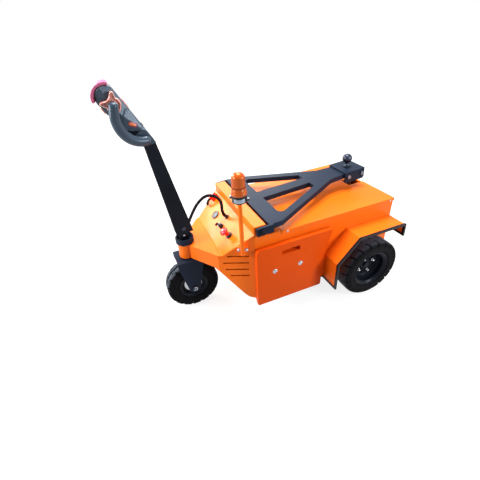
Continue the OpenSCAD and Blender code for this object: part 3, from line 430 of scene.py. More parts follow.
def patch(points, radius, surface, height, depth=1.5, side=1, count=96):
    # A raised field on a surface y = f(a, b): rings c + v*(outline - c) from its foot under the surface over the
    # rounded edge to its middle, at f + the ring's height
    outline = softOutline(points, radius)
    edge = evenly(np.concatenate([outline, outline[:1]]), count, False)
    middle = edge.mean(axis=0)
    v = np.array([0, 0.5, 1, 1, 0.975, 0.94, 0.75, 0.5, 0.25, 0])
    lift = np.array([-depth, -depth, -depth, height * 0.45, height * 0.86, height, height, height, height, height])
    flat = middle + v[None, :, None] * (edge[:, None] - middle)
    y = surface(flat[..., 0], flat[..., 1]) + lift
    verts = np.stack([flat[..., 0], side * y, flat[..., 1]], axis=-1)
    return verts.reshape(-1, 3), gridFaces(count, len(v), True, False)


def plane(a, b):  # the surface y = 0, for a patch that lies flat
    return 0 * a


def smoothPath(points, count):  # a Catmull-Rom curve through the points, spaced by length
    p = np.asarray(points, float)
    p = np.concatenate([2 * p[:1] - p[1:2], p, 2 * p[-1:] - p[-2:-1]])
    t = np.linspace(0, 1, 24, endpoint=False)[:, None]
    spans = [0.5 * (2 * p[i] + (p[i + 1] - p[i - 1]) * t + (2 * p[i - 1] - 5 * p[i] + 4 * p[i + 1] - p[i + 2]) * t**2
                    + (3 * p[i] - p[i - 1] - 3 * p[i + 1] + p[i + 2]) * t**3) for i in range(1, len(p) - 2)]
    return evenly(np.concatenate(spans + [p[-2:-1]]), count)


def refined(node, width, angle=30, segments=2):
    # A copy of a sheet or block whose sharp corners get a small radius, in millimetres
    mesh = frame["nodes"][node].data.copy()
    smoothed(mesh, angle, True)
    obj = placed(node + "Refined", mesh)
    bevel = obj.modifiers.new("softEdge", "BEVEL")
    bevel.width = width / 1000
    bevel.segments = segments
    bevel.limit_method = "ANGLE"
    bevel.angle_limit = math.radians(angle)
    bevel.harden_normals = True
    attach(obj, bodyOf[node])
    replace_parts(obj, node)
    return obj


edgeRadii = {  # millimetres, under half the thickness of the piece's sheet
    "body_shell": 2, "pivot_housing": 1.7, "lid": 1.3, "nose_cover": 1.6, "steering_head": 2,
    "side_plate_left": 2.5, "side_plate_right": 2.5, "fender_left": 1.4, "fender_right": 1.4,
    "arm_frame": 1.6, "hitch_head": 2, "fork": 2,
    "tiller_arm": 1.7, "tiller_bracket": 1.5, "base_plate": 1, "battery_block": 4, "lift_clevis": 1.2,
    "pivot_pins": 1.5, "beacon_post": 1.2, "beacon_base": 1.6, "console": 3.5,
    "cross_pins": 1.5, "cable_glands": 0.8, "gear_housing": 2.6, "drive_motor": 3, "rear_axle": 1.5,
}
for node, width in edgeRadii.items():
    refined(node, width)

print("sheet edges rounded:", len(edgeRadii))

# Tyres: a section carried round the wheel, its tread lowered in sheared grooves

tyreWall = {  # half of the section, as (radius, place across), from the bead over the side wall to the tread
    "bead": [(-13.6, -16.3), (-6, -12.2), (0.5, -8.6), (3, -5), (8, -3), (10, -4.2), (12, -1.6), (15, -1)],
    "shoulder": [(-38, 0), (-35, -1.8), (-32, -0.3), (-29, -0.3), (-28, -0.3), (-16, -0.8), (-15, -1), (-9.5, -3.2),
                 (-4, -8), (-1.6, -13)],
    "crown": [(-0.4, 0.62), (0, 0.42), (0, 0.28), (0, 0.14)],  # places across as parts of the half width
    "window": (28.5, 15.5), "pressed": 2,  # from and to under the tread, and how deep it goes into the side
    "sideCut": 0.75, "sideEdge": 2.5,  # the grooves cut the side out of this part of the half width, short of its edge
}
rearTyre = {"rim": 118, "blocks": 20, "groove": 0.17, "depth": 9, "skew": 0.5, "rib": 0.14, "fade": 0.82, "cut": 5,
            "zigAt": (0, 0.67, 1), "zig": (0, 1, 1), "channel": 0}
frontTyre = {"rim": 89, "blocks": 16, "groove": 0.24, "depth": 11, "skew": 1, "rib": 0, "fade": 0.8, "cut": 5,
             "zigAt": (0, 0.14, 0.42, 0.7, 1), "zig": (0.8, 0.8, -0.45, 0.75, 0.75), "channel": 8}


def tyre(node, values):
    # P(u, v) = centre + (R(v) - depth*G(u)*S(v)) * (cos t, sin t) + Y(v), with t = u + shear(v). G is 1 in a groove
    # and 0 on a block, S fades the grooves out down the side wall and at the middle rib; a window in each block's
    # side is pressed in by W(u, v)
    low, high = boxOf(node)
    centre = (low + high) / 2
    radius, half = (high[2] - low[2]) / 2, (high[1] - low[1]) / 2
    wall = np.concatenate([np.array(tyreWall["bead"]) + (values["rim"], half),
                           np.array(tyreWall["shoulder"]) + (radius, half),
                           np.array(tyreWall["crown"]) * (1, half) + (radius, 0),
                           [(radius - values["channel"], half * 0.11)]])
    section = np.concatenate([wall, wall[::-1] * (1, -1)])
    r, y = section.T
    blocks, part = values["blocks"], values["groove"]
    marks = np.concatenate([part * np.array([0, 0.2, 0.8, 1]), part + (1 - part) * np.array([0.2, 0.26, 0.74, 0.8])])
    u = (np.arange(blocks)[:, None] + marks).ravel() * 2 * np.pi / blocks
    g = np.tile([0, 1, 1, 0, 0, 0, 0, 0], blocks)
    windowFrom, windowTo = tyreWall["window"]
    window = np.tile([0, 0, 0, 0, 0, 1, 1, 0], blocks)[:, None] * ((r > radius - windowFrom) & (r < radius - windowTo))
    shear = values["skew"] * np.pi / blocks * np.sign(y) * np.interp(np.abs(y) / half, values["zigAt"], values["zig"])
    s = (np.clip((r - radius * values["fade"]) / (radius * 0.05), 0, 1)
         * np.clip((np.abs(y) / half - values["rib"]) / 0.12, 0, 1))
    t = u[:, None] + shear
    rr = r - values["depth"] * g[:, None] * s * (np.abs(y) < half - tyreWall["sideEdge"])
    cut = values["cut"] * g[:, None] * s * (np.abs(y) > half * tyreWall["sideCut"])
    yy = y - np.sign(y) * (cut + tyreWall["pressed"] * window)
    points = np.stack([rr * np.cos(t), yy, rr * np.sin(t)], axis=-1) + centre
    n = len(r)
    faces = gridFaces(len(u), n, True, False)
    inner = [[i * n, k * n, k * n + n - 1, i * n + n - 1] for i, k in enumerate([*range(1, len(u)), 0])]
    tread = show(node + "Tread", (points.reshape(-1, 3), faces + inner), "tyre_rubber", bodyOf[node], smooth=26)
    place = np.empty(3 * len(tread.data.vertices))
    tread.data.vertices.foreach_get("co", place)
    x, _, z = (place.reshape(-1, 3) * 1000 - (axleX, 0, 0) - centre).T
    # mask of the scuffed grey and painted sheen on the tread's running face
    wornAndSheen = np.clip((np.hypot(x, z) - radius + 6) / 5, 0, 1)  # 1 on the running face, 0 from 6 mm under it
    tread.data.attributes.new("wornAndSheen", "FLOAT", "POINT").data.foreach_set("value", wornAndSheen)
    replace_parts(tread, node)


tyre("rear_tyre_left", rearTyre)
tyre("rear_tyre_right", rearTyre)
tyre("front_tyre", frontTyre)
print("tyres made")

# Caps on the ends of the arm's stub pins

pivotCap = [(0, -0.6), (13.5, -0.6), (13.5, 2.4), (12.2, 3.6), (9.6, 3.9), (9, 5.8), (6.6, 7), (3.2, 7.2), (2.6, 6),
            (0, 6)]


def bothSides(profile, place, count):
    x, y, z = place
    return joined(*(turned(profile, (x, side * y, z), (0, side, 0), count) for side in (1, -1)))


x, _, z = places["arm"][0]
caps = bothSides(pivotCap, (x, boxOf("pivot_pins")[1][1], z), 32)
show("pivotCaps", caps, "black_paint", smooth=30)

# Rims: one closed profile of (radius, place across) turned about the axle, the outer side positive

rearRim = {
    "profile": [(17.1, -45), (31, -45), (31, -27), (78, -27), (90, -31), (97, -37), (101, -41), (112, -46), (118, -45),
                (118, -41.8), (112, -38.9), (104.3, -35), (104.3, 35), (112, 38.9), (118, 41.8), (118, 45), (115, 46.6),
                (111, 45.4), (107, 40), (103, 35.5), (99.5, 33), (98, 14), (97, 6), (95.5, 4), (94, 2), (92, -10),
                (88, -14.5), (80, -16), (62, -16), (58, -18), (40, -18), (36, -15), (32, -8), (26, -6), (17.1, -6)],
    "nuts": 4, "nutCircle": 54, "nutStart": 23, "nutFoot": 18.2, "nutSize": (12, 16),
    "stud": [(0, 15), (6.4, 15), (6.4, 25), (5.2, 26.6), (0, 26.6)],
}
frontRim = {
    "profile": [(10.1, -56), (22, -56), (22, 8), (55, 8), (64, 2), (67, -8), (70, -34), (78, -40), (84, -42.5),
                (89, -42), (89, -37.9), (83, -34.9), (75.2, -31), (75.2, 31), (83, 34.9), (89, 37.9), (89, 42),
                (86, 43.2), (80, 40), (74, 35), (71, 31), (69.5, 24), (64, 19), (56, 18), (30, 18), (25, 20), (22, 28),
                (10.1, 28)],
    "disc": [(24, 17.8), (57, 17.8), (57, 20), (55.5, 21.4), (27, 21.4), (24, 20.5)],
}


def hexNut(centre, axis, size, height, start=0):
    profile = [(0, 0), (size, 0), (size, height * 0.8), (size * 0.86, height), (0, height)]
    return turned(profile, centre, axis, 6, start=start)


def domeBolt(centre, axis, head, height, washer):  # a button head on a washer, with a shallow socket
    profile = [(0, -1), (washer, -1), (washer, 1.2), (washer - 0.6, 1.8), (head, 1.8), (head, 2.6),
               (head * 0.95, height * 0.5), (head * 0.82, height * 0.76), (head * 0.62, height * 0.94),
               (head * 0.42, height), (head * 0.36, height * 0.7), (0, height * 0.7)]
    return turned(profile, centre, axis, 20)


def rearRims(values):
    for side, name in ((1, "left"), (-1, "right")):
        node = "rear_rim_" + name
        centre = boxOf("rear_tyre_" + name).mean(axis=0)
        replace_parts(show(node + "Disc", turned(values["profile"], centre, (0, side, 0), 96, True), "black_paint",
                         bodyOf[node], smooth=40), node)
        parts = []
        for k in range(values["nuts"]):
            t = math.radians(-values["nutStart"] + 360 * k / values["nuts"])
            out = np.array([math.cos(t), 0, math.sin(t)]) * values["nutCircle"]
            at = centre + out - (0, side * values["nutFoot"], 0)
            parts += [hexNut(at, (0, side, 0), *values["nutSize"], t), turned(values["stud"], at, (0, side, 0), 12)]
        show(node + "Nuts", joined(*parts), "bright_steel", bodyOf[node], smooth=25, finish="nutSteel")


def frontRimPieces(values):
    centre = boxOf("front_tyre").mean(axis=0)
    disc = turned(values["profile"], centre, (0, 1, 0), 96, True)
    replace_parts(show("front_rimDisc", disc, "black_paint", "front_wheel", smooth=40), "front_rim")
    plate = turned(values["disc"], centre, (0, 1, 0), 72, True)
    show("front_rimPlate", plate, "bright_steel", "front_wheel", smooth=40)


rearRims(rearRim)
frontRimPieces(frontRim)
print("rims made")

# Steering: bellows collar, axle clips, and the bolt heads on the tiller's foot

steeredX = places["tiller"][0][0]
collar = {
    "foot": 474,
    "profile": [(44, 0), (51, 0), (53, 2.5), (53, 8.5), (50.8, 10.5), (50.8, 12.5), (53, 14.5), (53, 20.5),
                (50.8, 22.5), (50.8, 24.5), (53, 26.5), (53, 31), (51, 35), (44, 35)],
}
bellows = turned(collar["profile"], (steeredX, 0, collar["foot"]), upward, 72, True)
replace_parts(show("dust_collarBellows", bellows, "black_paint", smooth=50, finish="armPaintAndSkySheen"), "dust_collar")

axleClip = {
    "face": 77, "height": 163, "radius": 11.6, "gap": 38, "tilt": 20, "steps": 34,  # the gap and tilt are in degrees
    "section": [(-1.9, -0.6), (1.9, -0.6), (1.9, 1.3), (1, 2.1), (-1, 2.1), (-1.9, 1.3)],
    "pip": [(0, -0.5), (3.4, -0.5), (3.4, 1), (2.4, 1.8), (0, 1.8)],
}


def axleClips(values):
    # An open ring with a pip in it: a section point (a, b) goes to (radius + a) * (cos k, sin k) and b along the axle
    section, steps = values["section"], values["steps"]
    k = np.radians(np.linspace(values["gap"], 360 - values["gap"], steps) + values["tilt"])[:, None]
    ring = np.cos(k) * (1, 0, 0) + np.sin(k) * (0, 0, 1)
    faces = tubeFaces(steps, len(section))
    for side, name in ((1, "Left"), (-1, "Right")):
        at = np.array([steeredX, side * values["face"], values["height"]])
        verts = np.concatenate([(values["radius"] + a) * ring[:, None] + (0, side * b, 0) for a, b in section], axis=1)
        clip = joined(((at + verts).reshape(-1, 3), faces), turned(values["pip"], at, (0, side, 0), 20))
        show("axleClip" + name, clip, "bright_steel", "steering", smooth=30)


axleClips(axleClip)
refined("front_axle", 0.8).data.materials[0] = finishes["dark_steel"]

tillerFoot = {
    "pin": (-1.5, 30, 0.8), "lower": (9.7, 20, -49),  # in the arm's frame
    "pinHead": [(0, -1), (12, -1), (12, 1.4), (10.6, 2.2), (7.4, 2.2), (7.4, 1.2), (6.8, 3.4), (0, 3.4)],
    "boltHead": [(0, -1), (6.5, -1), (6.5, 1.4), (5, 2.2), (0, 2.2)],
}

show("tiltPinHeads", bothSides(tillerFoot["pinHead"], tillerFoot["pin"], 36), "bright_steel", "tiller", "tiller",
     finish="dark_steel")
show("bracketBolts", bothSides(tillerFoot["boltHead"], tillerFoot["lower"], 24), "bright_steel", "steering", "tiller")
print("steering dressed")

# Control head, in its own frame: x across its depth towards the belly, z along it

head = {
    "sideT": (-30, 12, 74), "sideY": (40, 57, 27), "planS": (-40, 40, 110, 190, 400), "planY": (30, 37, 50, 57, 57),
    "panel": [(-27, 186), (-19, 191), (9.5, 175), (22.6, 150), (26.4, 121), (-14.5, 81), (-27, 90)],
    "recess": [(37, 114), (-9, 80), (22, 77)], "recessRim": 1.16,  # the rim's size on the recess
    "button": (0, 122), "buttonAngle": 36, "buttonFrame": (19.5, 9.5), "buttonBar": (14, 4.6),
    "backPad": [(-20, 177), (20, 177), (24, 200), (20, 226), (-20, 226), (-24, 200)],  # across and along the head
    "bellyPad": [(-24, 215), (24, 215), (24, 245), (-24, 245)],
    "horn": (-30, 0, 86), "hornProfile": [(0, 1), (9.5, 1), (9.5, -1.5), (8, -3.2), (0, -3.2)],
}


def consoleSide(t, s):  # half width of the console at a place across its depth and along it
    return np.minimum(np.interp(t, head["sideT"], head["sideY"]), np.interp(s, head["planS"], head["planY"]))


def headSides():
    # Panel, recess and button on each flank; u runs along the button and n across it
    angle = math.radians(head["buttonAngle"])
    u = np.array([math.sin(angle), math.cos(angle)])
    n = np.array([u[1], -u[0]])
    frameEdge, barEdge = ([head["button"] + i * a * u + j * b * n for i, j in ((1, 1), (-1, 1), (-1, -1), (1, -1))]
                          for a, b in (head["buttonFrame"], head["buttonBar"]))
    hollow = np.array(head["recess"], float)
    rimEdge = hollow.mean(axis=0) + head["recessRim"] * (hollow - hollow.mean(axis=0))
    rows = (  # name, outline, its corner radius, height, points, slot, finish
        ("sidePanel", head["panel"], 6, 2.2, 96, "slate_plastic", None),
        ("recessRim", rimEdge, 4, 1, 96, "slate_plastic", None),
        # the recess is a thin raised patch whose near-black is painted shade
        ("recess", hollow, 3, 1.5, 60, "slate_plastic", "recessPaintedShade"),
        ("buttonFrame", frameEdge, 5, 3, 60, "slate_plastic", "maroon"),
        ("sideButton", barEdge, 3.5, 4.6, 48, "orange_plastic", None),
    )
    for side, name in ((1, "Left"), (-1, "Right")):
        for row, outline, corner, height, count, slot, finish in rows:
            shape = patch(outline, corner, consoleSide, height, side=side, count=count)
            piece = onHead(row + name, shape, slot, finish=finish)
    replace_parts(piece, "head_buttons")


def headPads():
    # The pads lie square to the head's depth: a patch over (across, along), raised from the back or belly face
    rows = (("backPad", 4, -30, -1, "copper_plastic"), ("bellyPad", 5, 57, 1, None))
    for name, height, level, way, finish in rows:
        verts, faces = patch(head[name], 7, plane, height, count=72)
        facing = np.stack([level + way * verts[:, 1], verts[:, 0], verts[:, 2]], axis=1)
        onHead(name, (facing, faces), "orange_plastic", finish=finish)
    horn = turned(head["hornProfile"], head["horn"], (1, 0, 0), 40)
    onHead("hornButton", horn, "orange_plastic", finish="black_plastic")


headSides()
headPads()

grip = {
    "top": (9.3, 96, 232), "points": [(27, 96, 209), (56, 83, 130), (0.5, 37, 27)], "radius": 20.6, "squash": 0.97,
    "foot": 1.2, "footRun": 4, "footTurn": (8, -44, 8),  # size at the foot, and how it runs on into the console
    "tip": 0.8, "footEnd": 0.35,  # the tip's length on the radius, and how far the foot's end shrinks
    "neck": [(0, 0), (16.5, 0), (16.5, 60), (0, 60)], "neckFrom": 33, "sides": 40, "rows": 70,
}


def gripPath(values):
    # Circle through three points: middle + radius*(cos k*e + sin k*f), after a straight run from the top
    p = np.array(values["points"], float)
    a, b = p[1] - p[0], p[2] - p[0]
    n = np.cross(a, b)
    c = p[0] + (np.cross(np.cross(a, b), a) * (b @ b) + np.cross(b, np.cross(a, b)) * (a @ a)) / (2 * n @ n)
    e = p[0] - c
    f = np.cross(n / np.linalg.norm(n), e)
    sweep = math.atan2((p[2] - c) @ f, (p[2] - c) @ e) % (2 * math.pi)
    k = np.linspace(0, sweep, values["rows"])[:, None]
    arc = c + np.cos(k) * e + np.sin(k) * f
    start = values["top"]
    way = (start - arc[0]) / np.linalg.norm(start - arc[0])
    q = np.linspace(1, 0, 12, endpoint=False)[:, None]
    straight = arc[0] + q * (start - arc[0])
    dome = np.linspace(1, 0, 9, endpoint=False)[:, None]
    tip = start + way * values["radius"] * values["tip"] * np.sin(dome * math.pi / 2)
    run = arc[-1] - arc[-2]
    q = np.linspace(0, 1, 13)[1:, None]
    inward = arc[-1] + q * values["footRun"] * run / np.linalg.norm(run) + q**2 * values["footTurn"]
    path = np.concatenate([tip, straight, arc, inward])
    foot, last = values["foot"], values["footEnd"]
    size = np.concatenate([np.cos(dome[:, 0] * math.pi / 2), np.ones(len(straight)),
                           1 + (foot - 1) * np.linspace(0, 1, len(arc)) ** 2, foot * (1 - last * q[:, 0] ** 2)])
    size[0] = 0.02  # the tip stays open by a hair, so that its cap has an area
    return path, size, n


def grips(values):
    path, size, n = gripPath(values)
    section = circle(values["radius"], values["sides"], values["squash"])
    x, _, z = values["top"]
    for side, name in ((1, "left"), (-1, "right")):
        neck = turned(values["neck"], (x, values["neckFrom"], z), (0, 1, 0), 32)
        shape = joined(along(path, section, n, size), neck)
        shape[0][:, 1] *= side
        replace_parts(onHead("grip_" + name + "Moulded", shape, "slate_plastic", 50), "grip_" + name)


grips(grip)

throttle = {
    "wings": [(-26, 39, 7.5), (34, 29, 7.5), (1, -8, 28), (-5, -2, 28)],  # across, along, and the radius there
    "hub": 28.5, "base": 57.5, "bore": 16.8, "count": 144, "reach": 54,
    "rim": 15, "tipHeight": 22, "dish": 6, "waist": 0.6,
}


def wingRadius(values, angles):
    # Outer edge: the farthest point of the circles that shrink from the hub to a wing's tip, along each ray
    best = np.full(len(angles), values["hub"])
    k = np.linspace(0, 1, 60)
    for wing in values["wings"]:
        reach = math.hypot(wing[0], wing[1]) * k
        phi = (angles - math.atan2(wing[1], wing[0]))[:, None]
        radius = values["hub"] + (wing[2] - values["hub"]) * k ** values["waist"]
        under = radius**2 - (reach * np.sin(phi)) ** 2
        far = np.where(under > 0, reach * np.cos(phi) + np.sqrt(np.maximum(under, 0)), 0)
        best = np.maximum(best, far.max(axis=1))
    return best


def throttlePaddles(values):
    # Ring round the grip's axis: a closed section from the bore over the raised edge, higher towards the wing tips
    angles = np.linspace(0, 2 * np.pi, values["count"], endpoint=False)
    edge = wingRadius(values, angles)
    edge = (np.roll(edge, 1) + 2 * edge + np.roll(edge, -1)) / 4
    lift = np.clip((edge - values["hub"]) / (values["reach"] - values["hub"]), 0, 1)
    top = values["rim"] + (values["tipHeight"] - values["rim"]) * lift**1.4
    bore = values["bore"]
    flat = 0 * edge
    inside = np.maximum(edge - bore, 1)
    rim = values["rim"]
    r = np.stack([bore + flat, edge - 4, edge - 1, edge, edge, edge - 0.6, edge - 2.2, edge - 4.4, edge - 6.6,
                  edge - 8.4, bore + 0.30 * inside, bore + flat], axis=1)
    h = np.stack([flat, flat, flat + 0.6, flat + 3, top - 7, top - 3.6, top - 1.2, top, top - 0.8, top - 3.2,
                  rim - values["dish"] + flat, rim - 3 + flat], axis=1)
    c, s = np.cos(angles)[:, None], np.sin(angles)[:, None]
    x, y, z = grip["top"]
    parts = []
    for side in (1, -1):
        verts = np.stack([x + r * c, side * (values["base"] + h), z + r * s], axis=-1).reshape(-1, 3)
        parts.append((verts, gridFaces(len(angles), r.shape[1], True, True)))
    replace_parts(onHead("throttlePaddles", joined(*parts), "copper_plastic", 55), "throttles")


throttlePaddles(throttle)

belly = {
    "middle": (12, 263), "from": -45, "to": 75, "rows": 64,  # degrees from the head's long axis towards the belly
    "seat": {"inner": 47.7, "outer": 53, "half": 43.5, "round": 1, "taper": 0, "inset": 2},
    "cap": {"inner": 51.2, "outer": 62.2, "half": 47.6, "round": 3.6, "taper": 4, "inset": 0},
}


def arcBand(values, band):
    # Section (radius, y) with rounded outer corners, carried over an arc about the tip's axis; towards both ends the
    # outer radius falls by taper * (1 - sqrt(1 - (1 - end)^2))
    inner, outer, half, soft = (band[k] for k in ("inner", "outer", "half", "round"))
    rows = values["rows"]
    k = np.linspace(0, np.pi / 2, 5)
    corner = np.stack([outer - soft + soft * np.sin(k), half - soft + soft * np.cos(k)], axis=1)
    section = np.concatenate([[[inner, -half]], [[inner, half]], corner, corner[::-1] * (1, -1)])
    a = np.radians(np.linspace(values["from"] + band["inset"], values["to"] - band["inset"], rows))[:, None]
    end = np.clip(np.minimum(np.arange(rows), np.arange(rows)[::-1]) / 6, 0, 1)[:, None]
    radius, y = section.T[:, None]
    radius = radius - band["taper"] * (1 - np.sqrt(1 - (1 - end) ** 2)) * (radius > inner + 1)
    x, z = values["middle"]
    verts = np.stack([x + radius * np.sin(a), np.broadcast_to(y, radius.shape), z + radius * np.cos(a)], axis=-1)
    return verts.reshape(-1, 3), tubeFaces(rows, len(section))


def bellyButton(values):
    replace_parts(onHead("belly_buttonCap", arcBand(values, values["cap"]), "pale_red_plastic", 40), "belly_button")
    # the seat's dark maroon is partly the button base's colour and partly painted shade of the gap under the cap
    onHead("belly_buttonSeat", arcBand(values, values["seat"]), "pale_red_plastic", 40, "maroon")


bellyButton(belly)
print("control head dressed")

# Beacon: fluted lens shell over a core, a dark band behind its foot, and a blank plate on its base

beacon = {
    "at": (776, 285.6, 847),
    "outer": [(0, 109), (6, 108.6), (13, 107), (20, 103), (26, 97.5), (29.4, 93), (31, 89), (31.4, 87), (31.4, 86),
              (31.6, 40), (31.6, 39), (32.2, 36), (33.6, 34), (33.8, 30), (33, 28), (34.4, 25), (34.6, 21),
              (35.6, 19), (36.6, 15), (36, 13), (37.4, 10), (37.8, 6), (37.4, 2), (36.6, 0)],
    "wall": 2.6, "flutes": (30, 0.55, 38, 88),
    "band": [(30, 35), (32.8, 35), (32.2, 41), (30, 41)], "bandFlutes": (20, 0.9, 30, 42),
    "core": [(0, 1), (22, 1), (22, 6), (13, 9), (13, 30), (15, 34), (15, 62), (10, 70), (0, 72)],
    "plateAngles": (24, 112), "plateSteps": 28, "plateRadius": 36.2, "plateZ": (815, 834),
}


def bentPlate(values):  # a thin plate bent round the beacon's base
    low, high = values["plateZ"]
    r, steps = values["plateRadius"], values["plateSteps"]
    section = np.array([(r - 0.6, low), (r + 0.5, low), (r + 0.9, low + 0.8), (r + 0.9, high - 0.8), (r + 0.5, high),
                        (r - 0.6, high)])
    a = np.radians(np.linspace(*values["plateAngles"], steps))[:, None]
    x, y, _ = values["at"]
    radius, z = section.T[:, None]
    verts = np.stack([x + radius * np.cos(a), y + radius * np.sin(a), z + 0 * a], axis=-1)
    return verts.reshape(-1, 3), tubeFaces(steps, len(section))


def beaconPieces(values):
    # The shell is one closed profile: down the outside, and back up the inside at a wall's distance
    at, top = values["at"], values["outer"][0][1] - values["wall"]
    outer = np.array(values["outer"], float)
    inner = outer[::-1] - (values["wall"], 0)
    inner = np.stack([np.maximum(inner[:, 0], 0), np.clip(inner[:, 1], 0.4, top)], axis=1)
    lens = turned(np.concatenate([outer, inner[:-1], [[0, top]]]), at, upward, 120, flutes=values["flutes"])
    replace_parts(show("beacon_lensShell", lens, "amber_lens", smooth=40), "beacon_lens")
    band = turned(values["band"], at, upward, 144, flutes=values["bandFlutes"])
    show("beaconBand", band, "amber_lens", finish="bandRed")
    show("beaconCore", turned(values["core"], at, upward, 32), "amber_lens", finish="lampCore")
    show("beaconPlate", bentPlate(values), "bright_steel", smooth=40, finish="plateSteel")


beaconPieces(beacon)
print("beacon made")

# Controls on the sloping plate, each at its level distance from the body and its place across

controls = {"gauge": (78, -94), "stop": (82, 145), "key": (86, 35), "plug": (32, -234.5)}

gauge = {
    "bezel": [(19.6, 0.3), (26, 0.3), (26, 4), (24.6, 6.4), (21.4, 6.8), (19.6, 4.6)],
    "face": [(0, 0.3), (19.9, 0.3), (19.9, 4), (0, 4)],
    "height": 4.2, "sweep": (-40, 220), "marks": 11, "reach": (13.5, 15.5, 17.5),
    "mark": [(-0.7, -0.3), (0.7, -0.3), (0.7, 0.2), (-0.7, 0.2)],
    "barPath": [(-8, -3), (0, -3), (8, -3)], "bar": [(-2.6, -0.3), (2.6, -0.3), (2.6, 0.3), (-2.6, 0.3)],
}


def gaugePieces(values, at):
    bezel = turned(values["bezel"], at, upward, 64, True)
    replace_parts(onNose("charge_gaugeBezel", bezel, "black_plastic"), "charge_gauge")
    onNose("gaugeFace", turned(values["face"], at, upward, 48), "black_plastic", finish="dialFace")
    z = values["height"]
    marks = [along([at + (math.cos(k) * r, math.sin(k) * r, z) for r in values["reach"]], values["mark"])
             for k in np.radians(np.linspace(*values["sweep"], values["marks"]))]
    bar = along([at + (x, y, z) for x, y in values["barPath"]], values["bar"])
    onNose("gaugeMarks", joined(*marks, bar), "black_plastic")


stop = {
    "knob": [(0, 14), (12.2, 14), (12.6, 25), (14.5, 34), (18.5, 38.5), (22.2, 41), (23.3, 44), (23.2, 47.5),
             (21.5, 52), (17.5, 56.2), (11.5, 59), (5, 60.2), (0, 60.4)],
    "base": [(0, 0.3), (19.5, 0.3), (19.5, 4), (17.6, 5.5), (17.6, 12), (15.5, 14.2), (0, 14.2)],
    "flutes": (24, 0.35, 5, 13),
}


def stopPieces(values, at):
    knob = turned(values["knob"], at, upward, 64)
    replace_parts(onNose("emergency_stopKnob", knob, "red_plastic", 50), "emergency_stop")
    base = turned(values["base"], at, upward, 48, flutes=values["flutes"])
    onNose("stopBase", base, "red_plastic", finish="black_plastic")


key = {
    "ring": [(0, 20.5), (11.2, 20.5), (11.2, 24.5), (9.8, 26), (0, 26)],
    "barrel": [(0, 0.3), (14.5, 0.3), (14.5, 3), (12.6, 4.5), (12.6, 19), (11, 21), (0, 21)],
    "flutes": (16, 0.6, 4, 20),
    "bow": [(-3, 24), (3, 24), (3, 29), (15, 31), (19, 37), (17, 44), (8, 46), (-1, 44), (-3, 37), (-2, 31)],
    "thickness": 1.6,
}


def keyPieces(values, at):
    ring = turned(values["ring"], at, upward, 40)
    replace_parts(onNose("key_switchRing", ring, "bright_steel", 30, "dark_steel"), "key_switch")
    barrel = turned(values["barrel"], at, upward, 64, flutes=values["flutes"])
    onNose("keyBarrel", barrel, "bright_steel", finish="black_plastic")
    half = values["thickness"]
    verts, faces = patch(values["bow"], half, plane, half, depth=half, count=60)
    onNose("keyBow", (verts + at, faces), "bright_steel", finish="black_plastic")


plug = {
    "outline": [(-28, -22), (20, -22), (20, 22), (-28, 22)], "corner": 7, "height": 45, "foot": 0.2,
    "lever": [(6, 11, 30), (20, 11, 30), (38, 11, 27), (54, 11, 19), (60, 11, 9)],
    "leverSection": [(-8, -6), (8, -6), (8, 6), (-8, 6)],
}


def plugPieces(values, at):
    top = values["height"]
    verts, faces = patch(values["outline"], values["corner"], lambda a, b: top + plane(a, b), 0,
                         depth=top - values["foot"], count=80)
    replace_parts(onNose("charge_plugBody", (verts[:, [0, 2, 1]] + at, faces), "red_plastic", 40), "charge_plug")
    lever = along(smoothPath(values["lever"], 30) + at, softOutline(values["leverSection"], 3), up=(0, 1, 0))
    onNose("plugLever", lever, "red_plastic", 40, "black_plastic")


gaugePieces(gauge, onSlope(*controls["gauge"]))
stopPieces(stop, onSlope(*controls["stop"]))
keyPieces(key, onSlope(*controls["key"]))
plugPieces(plug, onSlope(*controls["plug"]))

cable = {
    "radius": 8.8, "rows": 110,
    "start": [(764.9, 11, 580.9), (771, 11, 588.4), (777, 5, 620), (775, -2, 652), (782, -9, 677), (800, -17, 698),
              (825, -25, 709), (850, -33, 708), (876, -42, 692), (912, -49, 654)],
    "end": [(980 - h * h / 420, -72 + h / 14, 470 + h) for h in (110, 66, 40, 14)],
}
tube = along(smoothPath(cable["start"] + cable["end"], cable["rows"]), circle(cable["radius"], 20), up=(0.1, 1, 0))
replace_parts(show("control_cableTube", tube, "black_rubber", smooth=60), "control_cable")
print("controls made")

# Tow ball on its flange, and the lift's wiper ring

towBall = {
    "at": (749.5, 0, 33), "radius": 29, "middle": 52, "sweep": (-65, 76),  # degrees of the ball that the profile has
    "foot": [(0, 0), (23, 0), (23, 4.2), (21.6, 5.6), (16.5, 8.5), (13.8, 13), (12.5, 19), (12.2, 24)],
}


def towBallPiece(values):
    k = np.radians(np.linspace(*values["sweep"], 30))
    ball = values["radius"] * np.stack([np.cos(k), np.sin(k)], axis=1) + (0, values["middle"])
    profile = np.concatenate([values["foot"], ball, [(0, values["middle"] + values["radius"] * 0.974)]])
    piece = show("tow_ballTurned", turned(profile, values["at"], upward, 72), "dark_steel", "hitch_arm", "arm", 40)
    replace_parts(piece, "tow_ball")


towBallPiece(towBall)
wiper = [(12.6, 318), (21, 318), (24.6, 322), (24.6, 329), (21, 333), (14, 333.5), (12.6, 331)]
show("liftWiper", turned(wiper, (0, 0, 0), upward, 48, True), "grey_paint", "lift_tube", "lift", finish="black_rubber")
print("hitch dressed")

# Bolts on the body. Columns: name, points, axis, head radius, head height, washer radius, sides

